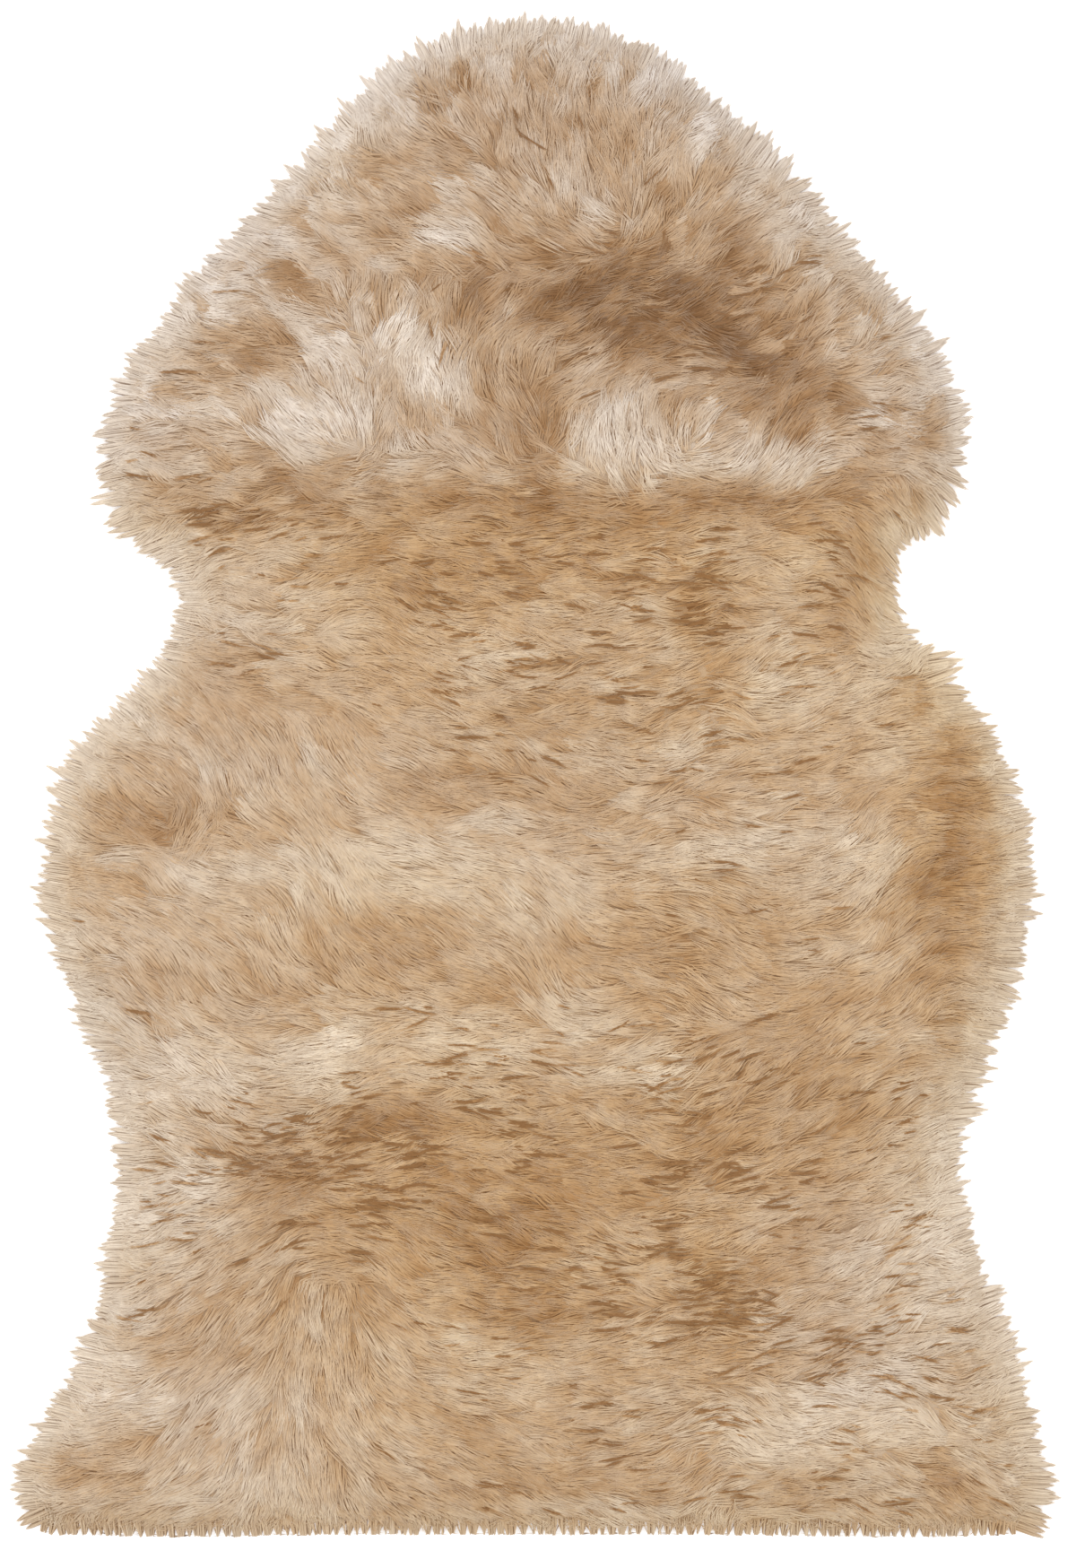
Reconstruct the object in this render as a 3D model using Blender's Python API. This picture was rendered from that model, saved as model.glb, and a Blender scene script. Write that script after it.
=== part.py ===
"""A single sheepskin rug lying flat: a tanned hide with the wool still on it.

Metres, +Z up. The origin is on the floor under the middle of the rug. The hide's spine
runs along Y, with the neck at +Y and the straight-cut hind edge at -Y.

The hide is a flat sheet of leather. The fleece is a lumpy slab of wool that stands on the
hide, falls over the hide's edge to the floor, and ends round its rim in separate locks.
"""

import math

import bmesh
import bpy
import numpy as np
from mathutils import Matrix, Vector, noise

# Driving sizes
LENGTH = 0.900
HIDE_THICKNESS = 0.002
HIDE_OVERHANG = 0.008  # the wool slab reaches this far past the hide, before its locks
CLEARANCE = 0.0003  # between the hide and the wool that stands on it
PILE_TOP = 0.042  # height of the combed wool over the floor
RIM_TOP = 0.017  # height of the wool where the rim's locks begin
RIM_ROUNDING = 0.052  # how far inside the rim the pile reaches its full height
LUMP_RISE = 0.0055
LUMP_LENGTH = 0.075  # along X, the way the combed wool lies
LUMP_WIDTH = 0.042
RIM_BAND = 0.009  # width of the band of faces along the rim of the wool's top
TOP_SPACING = 0.0185  # between the lines that divide the rest of the wool's top

# Rim locks
LOCK_COUNT = 286
LOCK_REACH = 0.0115  # on the flanks and round the neck
HIND_LOCK_REACH = 0.005  # the hind edge is trimmed straight, so its locks are short
LOCK_UNEVEN = 0.26  # share of its reach by which a lock is longer or shorter
LOCK_LEAN = 0.38  # sideways, as a share of its reach
LOCK_WAIST = 0.78  # width and height half way out, as a share of the root's
LOCK_POINT = 0.3  # width just before the tip, as a share of the waist's
LOCK_TIP_GAP = 0.0092  # locks whose tips come nearer than this are shortened

# The wool's outline at each place along the spine: distance from the hind edge, and the
# reach to the left and to the right of the spine, lock tips included.
OUTLINE = (
    # place            along   left    right
    ("hind_corner",    0.003,  0.296,  0.296),
    ("hind_toe",       0.024,  0.307,  0.307),
    ("hind_heel",      0.059,  0.298,  0.301),
    ("hind_leg",       0.093,  0.278,  0.291),
    ("hock",           0.130,  0.263,  0.281),
    ("thigh",          0.171,  0.255,  0.266),
    ("flank",          0.213,  0.250,  0.254),
    ("loin",           0.256,  0.253,  0.262),
    ("belly_back",     0.298,  0.267,  0.277),
    ("belly_low",      0.336,  0.284,  0.289),
    ("belly",          0.385,  0.292,  0.298),
    ("belly_high",     0.430,  0.286,  0.292),
    ("ribs",           0.470,  0.269,  0.277),
    ("girth",          0.505,  0.235,  0.251),
    ("fore_leg",       0.528,  0.219,  0.238),
    ("fore_leg_step",  0.538,  0.216,  0.224),
    ("armpit",         0.556,  0.212,  0.219),
    ("shoulder_notch", 0.581,  0.229,  0.221),
    ("shoulder_low",   0.598,  0.248,  0.243),
    ("shoulder",       0.636,  0.258,  0.257),
    ("shoulder_high",  0.682,  0.248,  0.251),
    ("neck_base",      0.719,  0.224,  0.231),
    ("neck",           0.753,  0.199,  0.203),
    ("neck_top",       0.808,  0.147,  0.156),
    ("head",           0.854,  0.106,  0.108),
    ("brow",           0.884,  0.066,  0.070),
)
CROWN = (-0.004, LENGTH)
HIND_EDGE = (-0.270, -0.100, 0.100, 0.270)  # places across the straight cut

# Where the fleece stands up or is pressed down: centre from the spine and from the hind
# edge, half length, half width, turn in degrees, and rise.
SWELLS = (
    # name                 x       y       long    wide    turn   rise
    ("neck_ridge",         0.085,  0.642,  0.085,  0.020,    -4,  0.006),
    ("neck_hollow",        0.100,  0.705,  0.085,  0.034,   -14, -0.007),
    ("left_neck_swell",   -0.070,  0.690,  0.070,  0.045,    12,  0.006),
    ("left_neck_crease",  -0.178,  0.690,  0.045,  0.011,   -38, -0.007),
    ("crown_parting",      0.030,  0.790,  0.075,  0.016,    12, -0.006),
    ("shoulder_step",     -0.020,  0.612,  0.200,  0.016,     0, -0.006),
    ("girth_parting",     -0.080,  0.452,  0.120,  0.013,     3, -0.004),
    ("right_belly_ridge",  0.205,  0.375,  0.095,  0.020,    74,  0.006),
    ("right_belly_groove", 0.250,  0.380,  0.080,  0.018,    84, -0.005),
    ("left_belly_tuft",   -0.225,  0.400,  0.030,  0.016,    20, -0.006),
    ("loin_hollow",       -0.120,  0.240,  0.070,  0.018,     8, -0.006),
    ("loin_swell",        -0.020,  0.290,  0.100,  0.022,     0,  0.005),
    ("rump_tuft",          0.105,  0.140,  0.022,  0.045,     0, -0.006),
    ("thigh_wave",         0.205,  0.125,  0.070,  0.014,    58,  0.005),
    ("hind_tuft",          0.255,  0.043,  0.045,  0.015,   -24, -0.006),
)


def clear_scene():
    for obj in list(bpy.data.objects):
        bpy.data.objects.remove(obj, do_unlink=True)


def collection(name):
    made = bpy.data.collections.new(name)
    bpy.context.scene.collection.children.link(made)
    return made


def material(name, colour, roughness):
    made = bpy.data.materials.new(name)
    made.use_nodes = True
    shader = made.node_tree.nodes["Principled BSDF"]
    shader.inputs["Base Color"].default_value = (*colour, 1.0)
    shader.inputs["Roughness"].default_value = roughness
    shader.inputs["Metallic"].default_value = 0.0
    return made


# The outline


def evenly(loop, count):
    """The closed loop's points again, count of them and all the same distance apart."""
    closed = np.vstack([loop, loop[:1]])
    steps = np.linalg.norm(np.diff(closed, axis=0), axis=1)
    along = np.concatenate([[0.0], np.cumsum(steps)])
    wanted = np.linspace(0.0, along[-1], count, endpoint=False)
    return np.stack([np.interp(wanted, along, closed[:, k]) for k in (0, 1)], axis=1)


def smooth_loop(points, count):
    """A closed curve through the points, read off a Bezier guide at even steps."""
    guide = bpy.data.curves.new("outline_guide", "CURVE")
    guide.dimensions = "2D"
    guide.fill_mode = "NONE"
    guide.resolution_u = 12
    spline = guide.splines.new("BEZIER")
    spline.bezier_points.add(len(points) - 1)
    spline.use_cyclic_u = True
    for knot, (x, y) in zip(spline.bezier_points, points):
        knot.co = (x, y, 0.0)
        knot.handle_left_type = "AUTO"
        knot.handle_right_type = "AUTO"
    obj = bpy.data.objects.new("outline_guide", guide)
    bpy.context.scene.collection.objects.link(obj)
    bpy.context.view_layer.update()
    traced = np.array([v.co[:2] for v in obj.to_mesh().vertices])
    obj.to_mesh_clear()
    bpy.data.objects.remove(obj)
    return evenly(traced, count)


def wool_outline(count):
    """The outline round all the lock tips, counter-clockwise, from the right hind corner."""
    right = [(reach, along) for _, along, _, reach in OUTLINE]
    left = [(-reach, along) for _, along, reach, _ in OUTLINE]
    hind_edge = [(x, 0.0) for x in HIND_EDGE]
    points = right + [CROWN] + left[::-1] + hind_edge
    return smooth_loop([(x, y - LENGTH / 2) for x, y in points], count)


def outward(loop):
    """Unit normals of a counter-clockwise loop, pointing out of it."""
    along = np.roll(loop, -1, axis=0) - np.roll(loop, 1, axis=0)
    along /= np.linalg.norm(along, axis=1)[:, None]
    return np.stack([along[:, 1], -along[:, 0]], axis=1)


def faces_back(normals):
    """From 0 on the flanks to 1 where the outline faces straight back, on the hind edge."""
    return ((-normals[:, 1] - 0.75) / 0.2).clip(0.0, 1.0)


def slab_outline(count):
    """The outline of the wool slab, where the rim's locks are rooted."""
    tips = wool_outline(4 * count)
    normals = outward(tips)
    reach = LOCK_REACH + (HIND_LOCK_REACH - LOCK_REACH) * faces_back(normals)
    moved = tips - reach[:, None] * normals
    onward = np.roll(tips, -1, axis=0) - tips
    moved_on = np.roll(moved, -1, axis=0) - moved
    return evenly(moved[(moved_on * onward).sum(axis=1) > 0.0], count)


def depth_inside(loop, points):
    """How far each point is from the nearest side of the loop."""
    side = np.roll(loop, -1, axis=0) - loop
    reach = points[:, None, :] - loop[None, :, :]
    share = (reach * side).sum(axis=2) / (side**2).sum(axis=1)
    foot = loop + share.clip(0.0, 1.0)[:, :, None] * side
    return np.linalg.norm(points[:, None, :] - foot, axis=2).min(axis=1)


# Steps that both pieces use


def outline_face(mesh, rim):
    face = mesh.faces.new([mesh.verts.new((x, y, 0.0)) for x, y in rim])
    face.normal_update()
    return face


def inset_face(mesh, face, by):
    """Moves a face's outline in by a distance and leaves a band of faces round it."""
    bmesh.ops.inset_region(
        mesh, faces=[face], thickness=by, use_boundary=True, use_even_offset=True
    )


def raise_sheet(mesh, face, height):
    """Makes a flat face into a plate of this height, and returns its upper face."""
    made = bmesh.ops.extrude_face_region(mesh, geom=[face], use_keep_orig=True)["geom"]
    raised = [item for item in made if isinstance(item, bmesh.types.BMVert)]
    bmesh.ops.translate(mesh, verts=raised, vec=(0.0, 0.0, height))
    bmesh.ops.recalc_face_normals(mesh, faces=mesh.faces)
    return next(item for item in made if isinstance(item, bmesh.types.BMFace))


def finished(name, mesh, into, finish):
    bmesh.ops.recalc_face_normals(mesh, faces=mesh.faces)
    data = bpy.data.meshes.new(name)
    mesh.to_mesh(data)
    mesh.free()
    data.materials.append(finish)
    obj = bpy.data.objects.new(name, data)
    into.objects.link(obj)
    return obj


# The wool's top


def swell(x, y):
    """How far the fleece stands above its even height here, from the table of swells."""
    total = 0.0
    for _, centre_x, centre_y, half_long, half_wide, turn, rise in SWELLS:
        angle = math.radians(turn)
        dx = x - centre_x
        dy = y - (centre_y - LENGTH / 2)
        along = (dx * math.cos(angle) + dy * math.sin(angle)) / half_long
        across = (dy * math.cos(angle) - dx * math.sin(angle)) / half_wide
        total += rise * math.exp(-(along**2 + across**2))
    return total


def top_height(x, y, from_rim):
    """Height of the wool's surface at a point this far inside the slab's outline."""
    share = min(from_rim / RIM_ROUNDING, 1.0)
    height = RIM_TOP + (PILE_TOP - RIM_TOP) * math.sqrt(1.0 - (1.0 - share) ** 2)
    lump = noise.noise(Vector((x / LUMP_LENGTH, y / LUMP_WIDTH, 0.4)))
    fine = noise.noise(Vector((x / LUMP_WIDTH, y / LUMP_WIDTH, 5.3)))
    return height + share * (LUMP_RISE * (lump + 0.6 * fine) + swell(x, y))


def divide(mesh, faces, across, spacing):
    """Cuts flat faces along evenly spaced lines square to a direction."""
    reach = [vert.co.dot(across) for face in faces for vert in face.verts]
    for place in np.arange(min(reach) + 0.5 * spacing, max(reach), spacing):
        edges = {edge for face in faces for edge in face.edges}
        verts = {vert for face in faces for vert in face.verts}
        cut = bmesh.ops.bisect_plane(
            mesh,
            geom=[*faces, *edges, *verts],
            dist=0.1 * spacing,
            plane_co=place * across,
            plane_no=across,
        )
        faces = [item for item in cut["geom"] if isinstance(item, bmesh.types.BMFace)]
    return faces


def shape_top(mesh, top, rim):
    """Divides the flat top of the slab and gives every corner its height."""
    inset_face(mesh, top, RIM_BAND)
    cells = [top]
    for across in (Vector((1.0, 0.0, 0.0)), Vector((0.0, 1.0, 0.0))):
        cells = divide(mesh, cells, across, TOP_SPACING)
    corners = list({vert for face in cells for vert in face.verts})
    depths = depth_inside(rim, np.array([vert.co[:2] for vert in corners]))
    for vert, depth in zip(corners, depths):
        vert.co.z = top_height(vert.co.x, vert.co.y, depth)


# The locks round the rim


def pull_out(mesh, face, way, reach, width, height):
    """Extrudes one rim face along a way, and narrows and lowers the end that it makes."""
    end = bmesh.ops.extrude_discrete_faces(mesh, faces=[face])["faces"][0]
    middle = end.calc_center_median()
    side = Vector((-way.y, way.x, 0.0))
    for vert in end.verts:
        across = (vert.co - middle).dot(side)
        vert.co += way * reach + side * across * (width - 1.0)
        vert.co.z *= height
    return end


def lock_plan(face):
    """Which way a lock leaves its rim face, how it bends on the way, and how far it reaches."""
    middle = face.calc_center_median()
    normal = Vector((face.normal.x, face.normal.y, 0.0)).normalized()
    back = faces_back(np.array([normal[:2]]))[0]
    sway = 1.6 * noise.noise(14.0 * middle)
    chance = noise.cell_vector(middle / 0.0025)
    side = Vector((-normal.y, normal.x, 0.0))
    lean = side * LOCK_LEAN * (1.0 - 0.7 * back) * (sway + 0.7 * (chance.x - 0.5))
    reach = LOCK_REACH + (HIND_LOCK_REACH - LOCK_REACH) * back
    uneven = LOCK_UNEVEN * (1.0 - 0.7 * back) * (2.0 * chance.y - 1.0)
    return (normal + lean).normalized(), 0.5 * lean, reach * (1.0 + uneven)


def make_room(faces, plans):
    """The locks' reaches, shortened in a notch where two of them would cross."""
    tips = [face.calc_center_median() + way * reach for face, (way, _, reach) in zip(faces, plans)]
    tips = np.array([tip[:2] for tip in tips])
    apart = np.linalg.norm(tips[:, None] - tips[None, :], axis=2)
    np.fill_diagonal(apart, math.inf)
    room = (apart.min(axis=1) / LOCK_TIP_GAP).clip(0.4, 1.0)
    return [reach * share for (_, _, reach), share in zip(plans, room)]


def add_locks(mesh, rim_faces):
    """Pulls each face of the upright rim out into a lock that tapers down to the floor."""
    plans = [lock_plan(face) for face in rim_faces]
    for face, (way, bend, _), reach in zip(rim_faces, plans, make_room(rim_faces, plans)):
        waist = pull_out(mesh, face, way, 0.5 * reach, LOCK_WAIST, LOCK_WAIST)
        tip = pull_out(mesh, waist, (way + bend).normalized(), 0.5 * reach, LOCK_POINT, 0.0)
        end = tip.calc_center_median()
        bmesh.ops.pointmerge(mesh, verts=list(tip.verts), merge_co=(end.x, end.y, 0.0))


# The two pieces


def make_hide(rim, into, finish):
    """The flat sheet of leather, its outline an even distance inside the wool slab's."""
    mesh = bmesh.new()
    sheet = outline_face(mesh, rim)
    inset_face(mesh, sheet, HIDE_OVERHANG)
    bmesh.ops.delete(mesh, geom=[f for f in mesh.faces if f != sheet], context="FACES")
    raise_sheet(mesh, sheet, HIDE_THICKNESS)
    return finished("hide", mesh, into, finish)


def make_fleece(rim, into, finish):
    """The wool slab with its locks, hollowed below to stand over the hide."""
    mesh = bmesh.new()
    underside = outline_face(mesh, rim)
    top = raise_sheet(mesh, underside, RIM_TOP)
    rim_faces = [face for face in mesh.faces if face not in (underside, top)]
    inset_face(mesh, underside, HIDE_OVERHANG - CLEARANCE)
    hollow = bmesh.ops.extrude_discrete_faces(mesh, faces=[underside])["faces"][0]
    rise = (0.0, 0.0, HIDE_THICKNESS + CLEARANCE)
    bmesh.ops.translate(mesh, verts=hollow.verts, vec=rise)
    shape_top(mesh, top, rim)
    add_locks(mesh, rim_faces)
    return finished("fleece", mesh, into, finish)


def centre_on_origin(outermost, objects):
    """Moves the objects in X and Y so that the outermost one's box is centred."""
    corners = [Vector(corner) for corner in outermost.bound_box]
    middle = sum(corners, Vector()) / len(corners)
    for obj in objects:
        obj.data.transform(Matrix.Translation((-middle.x, -middle.y, 0.0)))


def main():
    clear_scene()
    rug = collection("sheepskin_rug")
    leather = material("tanned_hide", (0.72, 0.62, 0.47), 0.85)
    wool = material("honey_wool", (0.56, 0.38, 0.22), 0.95)
    rim = slab_outline(LOCK_COUNT)
    hide = make_hide(rim, rug, leather)
    fleece = make_fleece(rim, rug, wool)
    centre_on_origin(fleece, [hide, fleece])


main()
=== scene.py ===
import math

import bmesh
import bpy
import numpy as np
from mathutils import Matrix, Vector, noise
from mathutils.bvhtree import BVHTree


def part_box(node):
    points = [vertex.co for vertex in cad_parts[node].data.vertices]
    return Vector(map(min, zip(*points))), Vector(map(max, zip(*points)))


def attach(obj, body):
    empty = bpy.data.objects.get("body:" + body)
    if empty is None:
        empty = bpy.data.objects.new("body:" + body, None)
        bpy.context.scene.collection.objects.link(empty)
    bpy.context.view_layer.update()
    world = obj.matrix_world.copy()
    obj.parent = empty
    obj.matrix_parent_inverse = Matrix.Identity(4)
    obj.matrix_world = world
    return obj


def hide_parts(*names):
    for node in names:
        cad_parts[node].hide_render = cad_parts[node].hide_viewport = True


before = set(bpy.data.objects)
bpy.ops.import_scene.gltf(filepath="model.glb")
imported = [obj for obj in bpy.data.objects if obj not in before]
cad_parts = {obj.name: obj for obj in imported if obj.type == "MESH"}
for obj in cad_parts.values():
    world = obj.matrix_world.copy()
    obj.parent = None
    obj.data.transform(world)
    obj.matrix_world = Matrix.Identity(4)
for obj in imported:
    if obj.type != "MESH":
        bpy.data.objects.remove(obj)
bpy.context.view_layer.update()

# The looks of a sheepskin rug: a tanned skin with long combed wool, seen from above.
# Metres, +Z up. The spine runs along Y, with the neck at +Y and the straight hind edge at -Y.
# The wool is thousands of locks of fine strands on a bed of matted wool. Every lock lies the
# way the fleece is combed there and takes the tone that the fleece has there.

FLEECE_LOW, FLEECE_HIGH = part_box("fleece")
MM = 0.001

# The camera, straight above the rug
VIEW_HEIGHT = 0.932  # what the picture's long side takes in at the floor
VIEW_CENTRE = (0.0019, -0.0040)
LENS = 135.0
FILM = 36.0

# The skin
SKIN_THICKNESS = 0.002
SKIN_ROUNDING = 0.5 * MM  # of its cut edges
SKIN_CELL = 30.0 * MM

# The wool
SLAB_RIM = 8.0 * MM  # the foot of the standing wool lies this far outside the skin
RIM_TOP = 17.0 * MM  # height of the wool over its foot
RIM_FALL = 13.5 * MM  # the wool comes down to the floor this far outside its foot
BED_REACH = 6.0 * MM  # the matted wool reaches this far past the skin
BED_DEPTH = 3.4 * MM  # and lies this far below the wool's surface
BED_CELL = 9.0 * MM
LOCK_SPACING = 5.6 * MM
TUFT_SPACING = 17.0 * MM
LOCK_LENGTH = 22.0 * MM
LOCK_RADIUS = 3.6 * MM
LOCK_DOME = 0.8 * MM  # the middle of a lock stands over its sides
STRANDS_IN_LOCK = 16
STRAND_WIDTH = 0.60 * MM
RIM_STRANDS = 130
RIM_LOCK_RADIUS = 5.0 * MM
NOTCH_SPACING = 5.8 * MM  # along the hind edge
SLIT_SPACING = 6.3 * MM
SLIT_HEIGHT = 1.5 * MM
STRANDS_IN_SLIT = 11
FLEECE_FACING = 0.82  # how far strands face the way that the fleece does
SHADES = (0.02, 1.0)  # the darkest and the palest strand
LEAST_HEIGHT = 0.4 * MM  # a lock's strands stay this far over the floor

# How the work is done
GRID_STEP = 3.0 * MM  # of the maps
FINE_STEP = 0.75 * MM  # of the map of the slits
RAY_HEIGHT = 0.1  # rays come down on the CAD's meshes from here
BATCHES = 24  # long sums are done in so many parts, to save memory
WAY_ROUNDS = 70  # of smoothing, so that the way of the hair turns gently
SEEDS = {
    "locks": 11, "slits": 7, "lock_strands": 100, "slit_strands": 400, "wool_tones": 60,
    "rim_strands": 201, "rim_tones": 70, "notches": 301,
}

# How the fleece is combed. One row is a place on the rug, as millimetres to the right of the
# spine and from the hind edge, the heading of the hair there in degrees, 0 to the right and
# 90 to the neck, and how far round it that holds, in millimetres.
COMBING = {
    # part: (right, along, heading, reach)
    "crown": (
        (-25, 879, 92, 24), (-65, 868, 106, 21), (-91, 831, 124, 21), (-118, 817, 137, 21),
        (-25, 831, 120, 24), (29, 879, 88, 24), (82, 855, 77, 24), (122, 823, 56, 21),
        (29, 809, 118, 16), (77, 796, 69, 19), (34, 775, 148, 10), (58, 751, -150, 11),
    ),
    "neck_left": (
        (-145, 777, 148, 24), (-185, 748, 165, 21), (-158, 735, 170, 19), (-131, 713, 160, 19),
        (-225, 684, 166, 21), (-238, 655, 174, 19), (-249, 623, -180, 16), (-249, 604, -165, 16),
        (-25, 777, 160, 24), (-78, 791, 156, 21), (-91, 721, 80, 16), (-30, 719, 62, 19),
        (-97, 663, 98, 16), (-129, 676, 130, 16), (-163, 663, 147, 19), (-35, 660, 122, 19),
    ),
    "neck_right": (
        (162, 777, 34, 21), (207, 732, 26, 21), (236, 684, 5, 19), (250, 657, 0, 16),
        (248, 615, -25, 16), (82, 724, 7, 24), (29, 689, 42, 21), (148, 697, 25, 24), (55, 647, 94, 20),
        (135, 647, 52, 19), (188, 628, -2, 15), (214, 615, -85, 10), (93, 601, 2, 24),
        (202, 596, -50, 12), (23, 604, 176, 19),
    ),
    "shoulder": (
        (-171, 620, -176, 24), (-115, 612, -170, 21), (-51, 612, -179, 21), (-185, 577, -158, 21),
        (-120, 548, -168, 19), (-75, 548, 150, 17), (-30, 543, 176, 20), (15, 543, 177, 19),
        (-171, 524, 173, 24), (-120, 516, 168, 16), (-75, 516, 162, 20), (-30, 511, 172, 20),
        (23, 511, -173, 20), (50, 559, -176, 21), (64, 516, -174, 15), (-211, 495, 150, 20),
        (122, 548, 4, 13), (87, 489, -152, 10), (127, 489, -30, 12), (77, 465, -150, 13),
        (148, 513, 29, 17), (188, 511, 3, 17), (149, 569, 0, 19), (194, 559, -55, 13),
    ),
    "belly_left": (
        (-238, 457, 158, 20), (-275, 425, 150, 17), (-265, 391, 168, 21), (-265, 356, 174, 20),
        (-238, 324, 153, 20), (-185, 468, 120, 19), (-120, 457, 118, 19), (-75, 447, 160, 20),
        (-30, 457, 163, 20), (-203, 417, 65, 10), (-209, 386, 157, 16), (-163, 399, 168, 17),
        (-209, 324, 136, 17), (-163, 351, 132, 18), (-120, 378, 108, 18), (-120, 351, 128, 18),
        (-75, 399, 164, 20), (-30, 409, 178, 20), (-75, 356, 156, 20), (-30, 356, 148, 19),
        (-51, 324, 162, 20), (15, 452, 158, 18), (15, 378, 136, 19), (15, 346, 132, 19),
    ),
    "belly_right": (
        (55, 473, 172, 17), (50, 415, -180, 20), (114, 431, -8, 16), (149, 457, 10, 21),
        (162, 415, 14, 20), (250, 457, -5, 22), (188, 415, 38, 16), (202, 386, 54, 16),
        (242, 378, 7, 18), (220, 338, 48, 14), (266, 351, -10, 18), (162, 319, 22, 20),
        (112, 378, -26, 15), (112, 330, -30, 15), (55, 351, 175, 20), (149, 362, -3, 19),
    ),
    "loin": (
        (-249, 271, 165, 20), (-209, 276, 158, 19), (-195, 242, 155, 17), (-163, 271, 168, 17),
        (-120, 298, -178, 15), (-115, 258, -156, 14), (-75, 292, -167, 19), (-30, 287, -177, 20),
        (15, 287, 173, 19), (55, 287, -170, 18), (114, 282, 32, 15), (149, 255, 22, 23),
        (215, 244, 28, 20), (250, 258, 8, 18), (-75, 252, 176, 19), (-19, 255, -180, 20),
        (-142, 228, -172, 14), (-99, 234, 20, 10), (-75, 218, -170, 18), (-19, 223, 174, 20),
        (50, 239, 176, 22),
    ),
    "thigh_left": (
        (-238, 223, 176, 18), (-209, 194, -166, 18), (-166, 183, -142, 17), (-249, 162, 165, 16),
        (-211, 148, -155, 18), (-185, 124, -138, 17), (-131, 130, -98, 17), (-120, 95, -76, 16),
        (-86, 124, -38, 16), (-75, 191, 158, 18), (-115, 175, 176, 12), (-25, 175, 165, 20),
        (15, 180, 168, 19), (-75, 164, 125, 11), (-30, 140, -176, 17), (15, 143, 178, 17),
    ),
    "thigh_right": (
        (55, 191, 173, 20), (55, 159, 170, 19), (119, 212, 26, 17), (149, 186, 16, 22),
        (194, 223, 15, 19), (231, 196, 19, 16), (199, 156, 40, 18), (250, 151, 10, 18),
        (149, 132, 16, 20), (194, 124, 30, 16), (130, 143, 8, 14), (64, 122, -176, 16),
    ),
    "hind": (
        (-33, 106, -5, 21), (-51, 68, -20, 22), (-185, 79, -132, 20), (-238, 92, -170, 18),
        (-275, 87, 145, 11), (-294, 47, 170, 13), (-238, 47, -164, 20), (-198, 20, -154, 19),
        (-158, 47, -105, 17), (-126, 44, -75, 19), (-78, 42, -35, 19), (-19, 36, -20, 20),
        (34, 90, -173, 20), (29, 58, 172, 18), (74, 95, -172, 16), (77, 42, -145, 13),
        (55, 20, -14, 17), (98, 74, -150, 9), (127, 74, -28, 10), (149, 63, -6, 18), (149, 31, 2, 17),
        (236, 122, 6, 18), (290, 95, 15, 13), (202, 106, -4, 14), (202, 67, -7, 16), (223, 84, -32, 10),
        (271, 66, 5, 18), (260, 36, -24, 16), (295, 28, -30, 13), (204, 31, -12, 18),
    ),
}

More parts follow.
